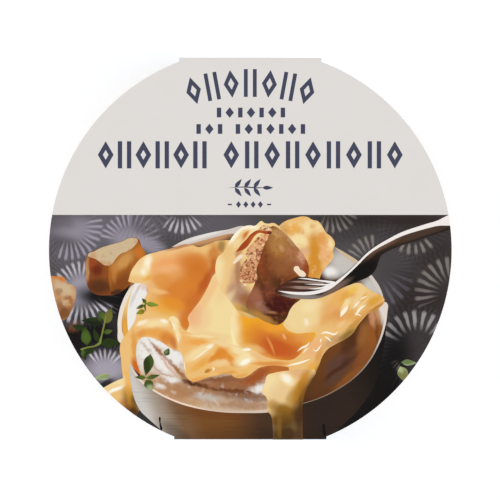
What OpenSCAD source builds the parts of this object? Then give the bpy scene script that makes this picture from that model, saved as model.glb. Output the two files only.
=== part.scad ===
// Camembert for baking, in its shut round wooden box, with a folded card sleeve round it.
// Millimetres. The box lies flat with its lid up. The origin is on the surface that it lies on,
// midway between the sleeve's front and back folds, and +Y runs up the label.

/* [Box] */
// Outer diameter of the lid's bent wood hoop
lid_d = 112; // [90:1:150]
// Height of the closed box, lid and base together
box_h = 36; // [28:0.5:60]
// Height of the lid, from its lower rim to its top
lid_h = 17; // [12:0.5:24]
// Thickness of the bent wood hoops
hoop_t = 1.4; // [0.8:0.1:2.5]
// Thickness of the lid's top board
board_t = 2.5; // [1.5:0.1:5]
// Gap all round between the lid's hoop and the base inside it
lid_gap = 0.4; // [0.3:0.05:1]

/* [Hoop ends] */
// How far a hoop's outer end stands proud where the two ends lap over each other
lap_step = 0.25; // [0.1:0.05:0.3]
// Length round the hoop of each lap
lap_l = 28; // [16:1:40]
// How far a hoop's outer end is trimmed back from each rim
lap_trim = 0.3; // [0.1:0.05:0.6]
// Where the middle of the lid's lap is, turned from +X
lid_lap_at = -45; // [-55:1:-35]
// Where the middle of the base's lap is, turned from +X
base_lap_at = 165; // [160:1:170]

/* [Staples] */
// Length of a staple, up the hoop
staple_l = 5; // [3:0.5:8]
// Width of the staple wire
wire_w = 0.8; // [0.5:0.1:1.2]
// Thickness of the staple wire, which stands proud of the wood
wire_t = 0.5; // [0.3:0.05:0.8]
// How deep the two legs of a staple go into the wood
staple_bite = 1.2; // [0.6:0.1:2]
// How far a staple keeps from the rim of its hoop
staple_edge = 1.5; // [1:0.25:3]
// How far apart round the hoop the two staples in a lap are
lap_pitch = 12; // [8:0.5:16]

/* [Sleeve] */
// Thickness of the card
card_t = 0.5; // [0.3:0.05:0.7]
// How far the round panels stand out past the lid
overhang = 4; // [3:0.25:8]
// How far the middle of the round panels sits in front of the origin
panel_shift = 0.5; // [0:0.1:1]
// Width of the strap that folds down the front
front_strap_w = 45.4; // [30:0.2:56]
// Width of the strap that folds down the back
back_strap_w = 42.4; // [30:0.2:56]
// Outside radius of each fold
fold_r = 0.9; // [0.8:0.05:1.5]
// Gap between the lid and the straps in front of it and behind it
strap_gap = 0.3; // [0.2:0.05:1]
// Gap between the lid's top and the top panel
head_gap = 0.2; // [0.1:0.05:0.8]

/* [Glued lap on the back strap] */
// Height of the outer layer's cut edge above the surface
flap_edge_z = 9; // [4:0.5:12]
// How far the two layers lie on each other
flap_l = 18; // [8:0.5:20]
// How much narrower the inner layer is, on each side
flap_inset = 1.5; // [1:0.25:4]

/* [Hidden] */
$fn = 96;
EPS = 0.01;

STAPLES_ROUND = 6;
LAP_STAPLES = 2;
BASE_STAPLES_FROM = 15;
LID_STAPLES_FROM = -15;

lid_r = lid_d / 2;
base_r = lid_r - hoop_t - lid_gap;
base_h = box_h - board_t;
base_z = card_t;
lid_z = base_z + box_h - lid_h;
lid_top = base_z + box_h;

sleeve_h = lid_top + head_gap + card_t;
fold_y = (lid_d + 2 * strap_gap + 3 * card_t) / 2;
inner_back_y = fold_y - card_t;
box_y = -fold_y + card_t + strap_gap + lid_r;
panel_r = lid_r + overhang;
inner_strap_w = back_strap_w - 2 * flap_inset;

base_staple_z = base_z + staple_edge;
lid_staple_z = lid_top - staple_edge - staple_l;
base_lap_staple_z = (base_z + lid_z - staple_l) / 2;
lid_lap_staple_z = (lid_z + lid_staple_z - staple_l) / 2;

// Angle round the box of staple i of a full ring, or of the pair in a lap.
function round_angle(i, from) = from + (i - 1) * 360 / STAPLES_ROUND;
function lap_angle(i, middle, r) =
    middle + (i - (LAP_STAPLES + 1) / 2) * lap_pitch / r * 180 / PI;

// Moves its children to the box's own axis.
module on_box_axis() {
    translate([0, box_y, 0]) children();
}

// One wire staple: a straight crown on the wood's face at radius r, and two legs that go into it.
module staple(r, angle, z) {
    rotate([0, 0, angle])
        translate([r, -wire_w / 2, z]) {
            cube([wire_t, wire_w, staple_l]);
            for (leg_z = [0, staple_l - wire_t])
                translate([-staple_bite, 0, leg_z])
                    cube([staple_bite + wire_t, wire_w, wire_t]);
        }
}

// A ring's worth of staples, and the pair in a lap, for the sockets that they leave in the wood.
module ring_staples(r, from, z) {
    for (i = [1:STAPLES_ROUND]) staple(r, round_angle(i, from), z);
}
module lap_staples(r, middle, z) {
    for (i = [1:LAP_STAPLES]) staple(r + lap_step, lap_angle(i, middle, r), z);
}

// The outer end of a bent hoop, where it lies over the inner end.
module hoop_lap(r, middle, z, h) {
    turn = lap_l / r * 180 / PI;
    rotate([0, 0, middle - turn / 2])
        rotate_extrude(angle = turn)
            translate([r - hoop_t / 2, z + lap_trim])
                square([hoop_t / 2 + lap_step, h - 2 * lap_trim]);
}

// The base: hoop, floor and contents of a shut box, as one solid.
module base() {
    color("burlywood")
        on_box_axis()
            difference() {
                union() {
                    translate([0, 0, base_z]) cylinder(r = base_r, h = base_h);
                    hoop_lap(base_r, base_lap_at, base_z, base_h);
                }
                ring_staples(base_r, BASE_STAPLES_FROM, base_staple_z);
                lap_staples(base_r, base_lap_at, base_lap_staple_z);
            }
}

// The lid: its hoop goes down over the base, and its top board rests on it.
module lid() {
    color("wheat")
        on_box_axis()
            difference() {
                union() {
                    translate([0, 0, lid_z]) cylinder(r = lid_r, h = lid_h);
                    hoop_lap(lid_r, lid_lap_at, lid_z, lid_h);
                }
                translate([0, 0, lid_z - EPS])
                    cylinder(r = lid_r - hoop_t, h = lid_h - board_t + EPS);
                ring_staples(lid_r, LID_STAPLES_FROM, lid_staple_z);
                lap_staples(lid_r, lid_lap_at, lid_lap_staple_z);
            }
}

// A quarter of a card tube: one fold. side is -1 at the front and 1 at the back, and up is 1 for
// the fold at the top and -1 for the fold at the base. y and z are the fold's outer faces.
module fold(width, side, up, y, z) {
    centre_y = y - side * fold_r;
    centre_z = z - up * fold_r;
    intersection() {
        translate([-width / 2, centre_y, centre_z])
            rotate([0, 90, 0])
                difference() {
                    cylinder(r = fold_r, h = width);
                    translate([0, 0, -EPS])
                        cylinder(r = fold_r - card_t, h = width + 2 * EPS);
                }
        translate([
            -width / 2,
            side > 0 ? centre_y : centre_y - fold_r,
            up > 0 ? centre_z : centre_z - fold_r
        ])
            cube([width, fold_r, fold_r]);
    }
}

// An upright layer of strap whose outer face is at y, from z0 to z1.
module strap(width, side, y, z0, z1) {
    translate([-width / 2, side > 0 ? y - card_t : y, z0])
        cube([width, card_t, z1 - z0]);
}

// A round panel with its underside at z. Within each strap's width it stops where the fold
// starts, and the strap carries on from there at full width.
module panel(z, back_w, back_y) {
    front_start = -fold_y + fold_r;
    back_start = back_y - fold_r;
    reach = panel_r / 4;
    translate([0, 0, z]) {
        difference() {
            translate([0, -panel_shift, 0]) cylinder(r = panel_r, h = card_t);
            translate([-front_strap_w / 2, front_start - panel_r, -EPS])
                cube([front_strap_w, panel_r, card_t + 2 * EPS]);
            translate([-back_w / 2, back_start, -EPS])
                cube([back_w, panel_r, card_t + 2 * EPS]);
        }
        translate([-front_strap_w / 2, front_start, 0])
            cube([front_strap_w, reach, card_t]);
        translate([-back_w / 2, back_start - reach, 0])
            cube([back_w, reach, card_t]);
    }
}

// The sleeve: a round top panel and a round base panel, joined by a strap down the front and by
// a strap of two glued layers down the back.
module sleeve() {
    color("gainsboro") {
        panel(sleeve_h - card_t, back_strap_w, fold_y);
        panel(0, inner_strap_w, inner_back_y);

        fold(front_strap_w, -1, 1, -fold_y, sleeve_h);
        fold(front_strap_w, -1, -1, -fold_y, 0);
        strap(front_strap_w, -1, -fold_y, fold_r, sleeve_h - fold_r);

        fold(back_strap_w, 1, 1, fold_y, sleeve_h);
        strap(back_strap_w, 1, fold_y, flap_edge_z, sleeve_h - fold_r);

        fold(inner_strap_w, 1, -1, inner_back_y, 0);
        strap(inner_strap_w, 1, inner_back_y, fold_r, flap_edge_z + flap_l);
    }
}

module wire() {
    color("dimgray") on_box_axis() children();
}

sleeve();
lid();
base();
for (i = [1:STAPLES_ROUND]) {
    wire() staple(lid_r, round_angle(i, LID_STAPLES_FROM), lid_staple_z);
    wire() staple(base_r, round_angle(i, BASE_STAPLES_FROM), base_staple_z);
}
for (i = [1:LAP_STAPLES]) {
    wire()
            staple(lid_r + lap_step, lap_angle(i, lid_lap_at, lid_r), lid_lap_staple_z);
    wire()
            staple(base_r + lap_step, lap_angle(i, base_lap_at, base_r), base_lap_staple_z);
}
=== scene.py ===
# %% [markdown]
# # A camembert for baking, in its round wooden box and card sleeve
# The pack is three things: a shut box of bent wood, wire staples that hold the wood, and a card
# sleeve that is printed flat, cut to shape and folded round the box. This lesson makes them in
# that order and prints the label last, as layers of ink that lie on the card.
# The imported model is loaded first. It fixes every size and place, and nothing here moves it.

# %% Load the frame
import math

import bmesh
import bpy
from mathutils import Matrix, Vector


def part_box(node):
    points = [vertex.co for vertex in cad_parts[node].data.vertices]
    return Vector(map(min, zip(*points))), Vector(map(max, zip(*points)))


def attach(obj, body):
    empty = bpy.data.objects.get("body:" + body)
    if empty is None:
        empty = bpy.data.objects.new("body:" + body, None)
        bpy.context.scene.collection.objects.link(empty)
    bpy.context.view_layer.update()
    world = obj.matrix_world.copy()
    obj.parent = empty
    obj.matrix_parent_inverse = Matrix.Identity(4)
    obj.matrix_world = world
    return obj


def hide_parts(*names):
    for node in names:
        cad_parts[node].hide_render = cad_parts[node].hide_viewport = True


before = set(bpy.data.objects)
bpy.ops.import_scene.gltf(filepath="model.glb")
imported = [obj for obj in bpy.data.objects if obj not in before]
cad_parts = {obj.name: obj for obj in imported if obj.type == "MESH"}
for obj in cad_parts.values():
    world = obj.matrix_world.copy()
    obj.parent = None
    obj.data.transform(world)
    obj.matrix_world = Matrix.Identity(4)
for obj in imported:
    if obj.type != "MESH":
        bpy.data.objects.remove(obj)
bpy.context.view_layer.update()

print("nodes:", len(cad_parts))

# %% [markdown]
# ## Sizes
# Everything below is in millimetres, and a finished piece is scaled to metres once. The outer
# sizes are read from the frame. What the frame's boxes can't tell, such as the card's thickness
# and how wide each strap is, is named here with the values that the model was built from.

# %% Measure the frame
MM = 0.001


def box_mm(node):
    low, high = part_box(node)
    return low / MM, high / MM


_, sleeve_high = box_mm("sleeve")
lid_low, lid_high = box_mm("lid")
base_low, base_high = box_mm("base")

PANEL_R = sleeve_high.x
FOLD_Y = sleeve_high.y
SLEEVE_H = sleeve_high.z
LID_R = lid_high.x
BASE_R = base_high.x
BOX_Y = (lid_low.y + lid_high.y) / 2

PANEL_SHIFT = 0.5
CARD = 0.5
FOLD_R = 0.9
FRONT_STRAP = 45.4
BACK_STRAP = 42.4
FLAP_EDGE_Z = 9
FLAP_L = 18
FLAP_INSET = 1.5
HOOP = 1.4
BOARD = 2.5
LAP_L = 28
LAP_STEP = 0.25
LAP_TRIM = 0.3
LID_LAP_AT = -45
BASE_LAP_AT = 165
print(f"panel {2 * PANEL_R:.1f} wide, folds {2 * FOLD_Y:.1f} apart, sleeve {SLEEVE_H:.1f} high")

# %% [markdown]
# ## Camera and light
# A label is judged square on, so the camera looks straight down from high up through a long
# lens, which keeps the box's sides out of sight behind the label. The light is what a product
# table has: a bright, even surround, and two soft boxes that stand to the sides, so that their
# reflections stay out of the varnish.

# %% Camera
SENSOR_W = 36
CAMERA_H = 1500
VIEW_W = 148.97
VIEW_SHIFT = (0.09, 0.04)
CLIP = (0.1, 50)

camera = bpy.data.cameras.new("camera")
camera.sensor_width = SENSOR_W
camera.lens = SENSOR_W * CAMERA_H / VIEW_W
camera.clip_start, camera.clip_end = CLIP
camera_object = bpy.data.objects.new("camera", camera)
camera_object.location = (
    -VIEW_SHIFT[0] * MM,
    (-PANEL_SHIFT + VIEW_SHIFT[1]) * MM,
    (SLEEVE_H + CAMERA_H) * MM,
)
scene = bpy.context.scene
scene.collection.objects.link(camera_object)
scene.camera = camera_object
scene.view_settings.view_transform = "Standard"
print(f"lens {camera.lens:.0f} mm")

# %% Lights
WHITE = (1, 1, 1, 1)
SURROUND = 0.66
SOFTBOX_SIZE = 1
SOFTBOX_W = 8.3


def softbox(name, place):
    light = bpy.data.lights.new(name, "AREA")
    light.shape = "SQUARE"
    light.size = SOFTBOX_SIZE
    light.energy = SOFTBOX_W
    lamp = bpy.data.objects.new(name, light)
    lamp.location = place
    lamp.rotation_euler = (-Vector(place)).to_track_quat("-Z", "Y").to_euler()
    scene.collection.objects.link(lamp)


softbox("softbox_left", (-1.3, 0.5, 1.1))
softbox("softbox_right", (1.2, -0.4, 1.3))

world = bpy.data.worlds.new("studio")
world.use_nodes = True
world.node_tree.nodes["Background"].inputs["Color"].default_value = WHITE
world.node_tree.nodes["Background"].inputs["Strength"].default_value = SURROUND
scene.world = world
print(f"surround {SURROUND}, softboxes of {SOFTBOX_W} W")

# %% [markdown]
# ## A short way to write shaders
# A finish is a tree of nodes, and most of those nodes are sums. `Wire` wraps one output, so that
# a sum on it is written as a sum. `Finish` starts a material and adds any other node by its type.
# A colour is written as `"#E8D2A0"`, and a finish turns it into what a shader takes.

# %% Shader helpers
SRGB_KNEE = 0.04045


def linear(hex_colour):
    """A colour such as '#E8D2A0' as the linear values that a shader takes."""
    channels = [int(hex_colour[i : i + 2], 16) / 255 for i in (1, 3, 5)]
    return tuple(c / 12.92 if c <= SRGB_KNEE else ((c + 0.055) / 1.055) ** 2.4 for c in channels)


class Wire:
    """One output of a node. Sums on it add Math nodes to its finish."""

    def __init__(self, finish, socket):
        self.finish = finish
        self.socket = socket

    def __add__(self, other):
        return self.finish.maths("ADD", self, other)

    __radd__ = __add__

    def __mul__(self, other):
        return self.finish.maths("MULTIPLY", self, other)


class Finish:
    """A material that is built up node by node."""

    def __init__(self, name, roughness=0.5, specular=0.5, metallic=0):
        self.material = bpy.data.materials.new(name)
        self.material.use_nodes = True
        self.tree = self.material.node_tree
        self.shader = self.tree.nodes["Principled BSDF"]
        self.shader.inputs["Roughness"].default_value = roughness
        self.shader.inputs["Specular IOR Level"].default_value = specular
        self.shader.inputs["Metallic"].default_value = metallic

    def feed(self, socket, value):
        """Gives a socket a wire, a colour such as '#E8D2A0', or a plain value."""
        if isinstance(value, Wire):
            self.tree.links.new(value.socket, socket)
        elif isinstance(value, str):
            socket.default_value = (*linear(value), 1)
        else:
            socket.default_value = value

    def node(self, kind, settings=None, values=None, out=0):
        made = self.tree.nodes.new("ShaderNode" + kind)
        for name, setting in (settings or {}).items():
            setattr(made, name, setting)
        for name, value in (values or {}).items():
            self.feed(made.inputs[name], value)
        return Wire(self, made.outputs[out])

    def maths(self, operation, *values):
        return self.node("Math", {"operation": operation}, dict(enumerate(values)))

    def mix(self, under, over, share):
        """Colour over laid on colour under where share is 1."""
        return self.node("Mix", {"data_type": "RGBA"}, {0: share, 6: under, 7: over}, out=2)

    def step(self, value, start, end, most=1):
        """0 at start and most at end, with a smooth change between them."""
        return self.node(
            "MapRange",
            {"interpolation_type": "SMOOTHSTEP"},
            {"Value": value, "From Min": start, "From Max": end, "To Max": most},
        )

    def speckle(self, at, size, detail=2, distortion=0):
        """Noise from 0 to 1 whose lumps are about size millimetres across."""
        return self.node(
            "TexNoise",
            None,
            {"Vector": at, "Scale": 1 / size, "Detail": detail, "Distortion": distortion},
        )

    def placed(self, at, x=0, y=0, z=0, rx=1, ry=1, rz=1, turn=0):
        """The position at, seen from x, y, z, turned, in units of rx, ry and rz."""
        return self.node(
            "Mapping",
            {"vector_type": "TEXTURE"},
            {
                "Vector": at,
                "Location": (x, y, z),
                "Rotation": (0, 0, math.radians(turn)),
                "Scale": (rx, ry, rz),
            },
        )

    def relief(self, height, strength, distance):
        bump = self.node(
            "Bump",
            None,
            {"Height": height, "Strength": strength, "Distance": distance * MM},
        )
        self.feed(self.shader.inputs["Normal"], bump)

    def colour(self, value):
        self.feed(self.shader.inputs["Base Color"], value)

    def roughness(self, value):
        self.feed(self.shader.inputs["Roughness"], value)

    def object_mm(self):
        """The place on the object, in millimetres."""
        place = self.node("TexCoord", out="Object")
        return self.placed(place, rx=MM, ry=MM, rz=MM)


print("white as a shader takes it:", linear("#FFFFFF"))

# %% [markdown]
# ## From a bmesh to a piece
# Every piece is shaped as a bmesh in millimetres. This cell turns one into an object in metres
# with its finishes, and hides the CAD nodes that it stands for. Edges sharper than 30 degrees stay
# crisp and the rest are shaded smooth.

# %% Make a piece
SHARP = math.radians(30)


def make_piece(name, bm, finishes, replaces=()):
    mesh = bpy.data.meshes.new(name)
    bm.to_mesh(mesh)
    bm.free()
    mesh.transform(Matrix.Scale(MM, 4))
    for finish in finishes:
        mesh.materials.append(finish.material)
    mesh.shade_smooth()
    mesh.set_sharp_from_angle(angle=SHARP)
    made = bpy.data.objects.new(name, mesh)
    scene.collection.objects.link(made)
    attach(made, "root")
    if replaces:
        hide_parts(*replaces)
    print(f"{name}: {len(mesh.polygons)} faces")


# %% [markdown]
# ## Folding card
# A sleeve starts as a flat blank. Its creases turn it four times, always the same way: up the
# back, over the top, down the front, under the base and up the back again, where the end is
# glued inside the first strap. So the fold is a walk along the outer face: a straight, a quarter
# turn, the next straight, and so on. A point of the blank keeps its x, its y says how far along
# the walk it is, and its z is its height over the printed face. On the top panel a point's y in
# the blank is its y on the pack, so the label can be drawn flat, in the pack's own place.

# %% The walk round the sleeve
LEVELS = 10
INK = 0.015
PRINT = LEVELS * INK
BOARD_T = CARD - PRINT

back_y = FOLD_Y - PRINT
front_y = -FOLD_Y + PRINT
top_z = SLEEVE_H - PRINT
inner_back_y = FOLD_Y - CARD
straights = [
    top_z - FOLD_R - FLAP_EDGE_Z,
    back_y - front_y - 2 * FOLD_R,
    top_z - 2 * FOLD_R,
    inner_back_y - front_y - 2 * FOLD_R,
    FLAP_EDGE_Z + FLAP_L - FOLD_R,
]
quarter = FOLD_R * math.pi / 2
walk_zero = straights[0] + quarter + back_y - FOLD_R


def fold(point):
    """Where a point of the flat blank lies once the sleeve is folded."""
    left = walk_zero - point.y
    here = Vector((back_y, FLAP_EDGE_Z))
    ahead = Vector((0, 1))
    for straight in straights[:-1]:
        out = Vector((ahead.y, -ahead.x))
        if left <= straight:
            break
        left -= straight
        centre = here + ahead * straight - out * FOLD_R
        if left < quarter:
            turn = left / FOLD_R
            out = out * math.cos(turn) + ahead * math.sin(turn)
            y, z = centre + out * (FOLD_R + point.z)
            return Vector((point.x, y, z))
        left -= quarter
        here = centre + ahead * FOLD_R
        ahead = -out
    out = Vector((ahead.y, -ahead.x))
    y, z = here + ahead * left + out * point.z
    return Vector((point.x, y, z))


crease_ends = []
walked = 0
for straight in straights[:-1]:
    walked += straight
    crease_ends.append((walk_zero - walked, walk_zero - walked - quarter))
    walked += quarter
blank_top = walk_zero
blank_end = walk_zero - walked - straights[-1]
print(f"blank {blank_top - blank_end:.1f} mm long")
print("creases start at", [round(start, 1) for start, _ in crease_ends])

# %% Fold a flat bmesh
CREASE_STEPS = 8
CUT_DIST = 1e-4


def fold_up(bm):
    """Cuts the bmesh across each crease, notes where each vertex was on the blank, and folds."""
    low = min(v.co.y for v in bm.verts)
    high = max(v.co.y for v in bm.verts)
    for start, end in crease_ends:
        for i in range(CREASE_STEPS + 1):
            y = start + (end - start) * i / CREASE_STEPS
            if low < y < high:
                bmesh.ops.bisect_plane(
                    bm,
                    geom=bm.verts[:] + bm.edges[:] + bm.faces[:],
                    dist=CUT_DIST,
                    plane_co=(0, y, 0),
                    plane_no=(0, 1, 0),
                )
    flat = bm.verts.layers.float_vector.new("flat")
    for vertex in bm.verts:
        vertex[flat] = (vertex.co.x, vertex.co.y + PANEL_SHIFT, 0)
        vertex.co = fold(vertex.co)
    bm.normal_update()


print(f"{CREASE_STEPS} steps to a crease, {quarter / CREASE_STEPS:.2f} mm each")

# %% [markdown]
# ## Shapes cut from a flat outline
# The blank and every field of ink are flat shapes with a curved edge. Blender's 2D curves fill
# such an outline by themselves, and a few points are enough, since the curve runs smoothly
# through them. A point with a third entry is a sharp corner. The filled curve becomes a mesh,
# and an extrude gives it its thickness.

# %% Cut a sheet
CORNER = True
CURVE_STEPS = 6
ARC_STEPS = 80
MERGE = 1e-5


def filled(outlines):
    """A flat mesh inside the outlines. An outline within another cuts a hole."""
    curve = bpy.data.curves.new("outline", "CURVE")
    curve.dimensions = "2D"
    curve.fill_mode = "BOTH"
    curve.resolution_u = CURVE_STEPS
    for outline in outlines:
        spline = curve.splines.new("BEZIER")
        spline.use_cyclic_u = True
        spline.bezier_points.add(len(outline) - 1)
        for knot, point in zip(spline.bezier_points, outline):
            knot.co = (point[0], point[1], 0)
            kind = "VECTOR" if len(point) == 3 else "AUTO"
            knot.handle_left_type = kind
            knot.handle_right_type = kind
    holder = bpy.data.objects.new("outline", curve)
    mesh = bpy.data.meshes.new_from_object(holder)
    bpy.data.objects.remove(holder)
    bpy.data.curves.remove(curve)
    return mesh


def add_sheet(bm, outlines, low, high):
    """Adds to the bmesh a closed sheet of that outline, from height low to height high."""
    known = set(bm.verts)
    mesh = filled(outlines)
    bm.from_mesh(mesh)
    bpy.data.meshes.remove(mesh)
    fresh = [v for v in bm.verts if v not in known]
    bmesh.ops.remove_doubles(bm, verts=fresh, dist=MERGE)
    fresh = [v for v in bm.verts if v not in known]
    faces = list({f for v in fresh for f in v.link_faces})
    lifted = bmesh.ops.extrude_face_region(bm, geom=faces, use_keep_orig=True)["geom"]
    for vertex in fresh:
        vertex.co.z = low
    for vertex in (g for g in lifted if isinstance(g, bmesh.types.BMVert)):
        vertex.co.z = high
    shell = {f for v in bm.verts if v not in known for f in v.link_faces}
    bmesh.ops.recalc_face_normals(bm, faces=list(shell))


def new_sheet(outlines, low, high):
    bm = bmesh.new()
    add_sheet(bm, outlines, low, high)
    return bm


def arc(x, y, r, start, end):
    """Corner points along an arc, from angle start to angle end in degrees."""
    turns = [start + (end - start) * i / ARC_STEPS for i in range(ARC_STEPS + 1)]
    angles = [math.radians(turn) for turn in turns]
    return [(x + r * math.cos(a), y + r * math.sin(a), CORNER) for a in angles]


trial = new_sheet([arc(0, 0, 1, 0, 360)], 0, 1)
print(f"a disc as a sheet: {len(trial.faces)} faces")
trial.free()

# %% [markdown]
# ## Finishes of the card
# Sleeve board is coated white on the outside and printed with a pale warm grey, under a satin
# varnish. Inside it is left uncoated, a rougher grey-white with short fibres in it, and its cut
# edge shows the raw middle layer. The three finishes sit on one piece, face by face.

# %% Card finishes
PALE_INK = "#E4E0DD"
SATIN = 0.42
VARNISH_SPECULAR = 0.12


def flat_place(finish):
    """The place on the flat blank, in millimetres from the middle of the label."""
    return finish.node("Attribute", {"attribute_name": "flat"}, out="Vector")


def varnished(name, roughness=SATIN):
    """A printed finish: varnish over a board whose fibres still show as a faint relief."""
    finish = Finish(name, roughness=roughness, specular=VARNISH_SPECULAR)
    fibres = finish.speckle(finish.object_mm(), 0.35, detail=3)
    finish.relief(fibres, 0.12, 0.02)
    return finish


def pale_print():
    finish = varnished("pale_print")
    cloud = finish.speckle(finish.object_mm(), 9, detail=2)
    finish.colour(finish.mix(PALE_INK, "#E0DCD8", cloud))
    return finish


def bare_board():
    finish = Finish("bare_board", roughness=0.85, specular=0.2)
    at = finish.object_mm()
    fibres = finish.speckle(finish.placed(at, rx=1, ry=4, rz=4), 0.4, detail=4)
    finish.colour(finish.mix("#CFC9BD", "#B9B0A0", finish.step(fibres, 0.45, 0.7)))
    finish.relief(fibres, 0.3, 0.03)
    return finish


def cut_edge():
    finish = Finish("cut_edge", roughness=0.9, specular=0.15)
    layers = finish.speckle(finish.object_mm(), 0.15, detail=2)
    finish.colour(finish.mix("#D9D4C8", "#BDB5A4", layers))
    return finish


card_finishes = [pale_print(), bare_board(), cut_edge()]
print("card finishes:", [finish.material.name for finish in card_finishes])

# %% [markdown]
# ## The sleeve
# The blank is one outline: two round panels joined by a strap, with a narrower strap at one end
# for the glued lap. Its straight parts are a few points, and its round parts are arcs that start
# where the circle meets the strap. The outline is cut, faces are given their finish by the way
# they point, and then the blank is folded.

# %% Cut and fold the sleeve
panel_y = -PANEL_SHIFT
base_panel_y = crease_ends[2][1] - (panel_y - (front_y + FOLD_R))
inner_strap = BACK_STRAP - 2 * FLAP_INSET
FLAP_CORNER = 3


def side_angle(width):
    """The angle down from the side at which a strap of that width meets a round panel."""
    return math.degrees(math.acos(width / 2 / PANEL_R))


def blank_outline():
    """The right half, from the open end of the back strap down to the glued end, and mirrored."""
    half = [(BACK_STRAP / 2, blank_top, CORNER)]
    half += arc(0, panel_y, PANEL_R, side_angle(BACK_STRAP), -side_angle(FRONT_STRAP))
    half += arc(0, base_panel_y, PANEL_R, side_angle(FRONT_STRAP), -side_angle(inner_strap))
    half += [(inner_strap / 2, blank_end + FLAP_CORNER, CORNER)]
    half += [(inner_strap / 2 - FLAP_CORNER, blank_end, CORNER)]
    return half + [(-x, y, CORNER) for x, y, _ in reversed(half)]


PRINTED, INSIDE, EDGE = range(3)
blank = new_sheet([blank_outline()], -BOARD_T, 0)
for face in blank.faces:
    if abs(face.normal.z) < 0.5:
        face.material_index = EDGE
    else:
        face.material_index = PRINTED if face.normal.z > 0 else INSIDE
fold_up(blank)
make_piece("card_sleeve", blank, card_finishes, ["sleeve"])

# %% [markdown]
# ## Wood
# The box is peeled poplar: a long thin sheet, bent round and stapled, so its grain runs round the
# box. Noise that is stretched a long way across and very little up gives that grain, and because
# it is read at the place in space it has no seam. Pores are short dark dashes, and the sheet has
# wide soft bands where the tree grew faster.

# %% Wood finishes
BAND_LENGTH = 30
PORE_LENGTH = 4


def bent_poplar(name, offset):
    finish = Finish(name, roughness=0.62, specular=0.3)
    at = finish.placed(finish.object_mm(), x=offset, y=offset, z=offset)

    def streaks(length, height, detail, distortion=0):
        stretched = finish.placed(at, rx=length, ry=length, rz=height)
        return finish.speckle(stretched, 1, detail, distortion)

    waves = streaks(BAND_LENGTH, 9, 2)
    grain = streaks(BAND_LENGTH, 0.8, 4, distortion=0.6)
    fine = streaks(BAND_LENGTH / 3, 0.16, 2)
    pores = streaks(PORE_LENGTH, 0.14, 1)
    wood = finish.mix("#E3C89B", "#CDA670", finish.step(grain, 0.35, 0.7))
    wood = finish.mix(wood, "#EAD6B2", finish.step(waves, 0.45, 0.75) * 0.6)
    wood = finish.mix(wood, "#B98F5C", finish.step(fine, 0.6, 0.8) * 0.45)
    wood = finish.mix(wood, "#8F6A3F", finish.step(pores, 0.68, 0.78) * 0.6)
    finish.colour(wood)
    finish.roughness(0.55 + grain * 0.2)
    finish.relief(fine * 0.5 + pores * -0.8 + grain * 0.6, 0.5, 0.12)
    return finish


def end_grain():
    finish = Finish("end_grain", roughness=0.8, specular=0.2)
    at = finish.object_mm()
    lines = finish.speckle(finish.placed(at, rx=0.25, ry=0.25, rz=3), 1, 3)
    finish.colour(finish.mix("#D8B988", "#A67C4C", finish.step(lines, 0.4, 0.7)))
    finish.relief(lines, 0.4, 0.08)
    return finish


lid_wood = bent_poplar("lid_poplar", 0)
base_wood = bent_poplar("base_poplar", 37)
rim_wood = end_grain()
print(f"grain in streaks of {BAND_LENGTH} mm, pores of {PORE_LENGTH} mm")

# %% [markdown]
# ## Bent hoops
# A hoop is a rectangle swept round the box's axis, which is what spin does. Its outer end lies
# over the inner one for a few centimetres. The real end is shaved thin so that it starts flush,
# thickens, and stops at a cut edge. It is a second, short sweep whose outer face is then pushed
# out by a smooth ramp. A small bevel rounds the rims, where a saw or a thumb has worn them.

# %% Hoop helpers
HOOP_STEPS = 180
RIM_BEVEL = 0.25
RAMP = 0.45
SUNK = 0.02
SHARP_EDGE = math.radians(60)


def spun(section, start, turn, steps):
    """A solid made by sweeping a closed section, given as (radius, z) points, round the axis."""
    bm = bmesh.new()
    corners = [bm.verts.new((r, 0, z)) for r, z in section]
    bmesh.ops.rotate(bm, verts=corners, matrix=Matrix.Rotation(math.radians(start), 3, "Z"))
    whole = turn >= 360
    if whole:
        swept = [bm.edges.new(pair) for pair in zip(corners, corners[1:] + corners[:1])]
    else:
        swept = [bm.faces.new(corners)]
    bmesh.ops.spin(
        bm,
        geom=swept,
        axis=(0, 0, 1),
        angle=math.radians(turn),
        steps=steps,
        use_merge=whole,
    )
    bmesh.ops.remove_doubles(bm, verts=bm.verts, dist=CUT_DIST)
    bmesh.ops.recalc_face_normals(bm, faces=bm.faces)
    return bm


def sharp_edges(bm):
    return [e for e in bm.edges if e.is_manifold and e.calc_face_angle() > SHARP_EDGE]


def rounded(bm, offset, segments=3, edges=None):
    bmesh.ops.bevel(
        bm,
        geom=edges or sharp_edges(bm),
        affect="EDGES",
        offset=offset,
        segments=segments,
        profile=0.5,
        material=-1,
    )


def move_into(bm, part):
    """Adds the part's faces to the bmesh, and frees the part."""
    mesh = bpy.data.meshes.new("part")
    part.to_mesh(mesh)
    part.free()
    bm.from_mesh(mesh)
    bpy.data.meshes.remove(mesh)


def wall_section(inner, outer, low, high):
    return [(inner, low), (outer, low), (outer, high), (inner, high)]


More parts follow.
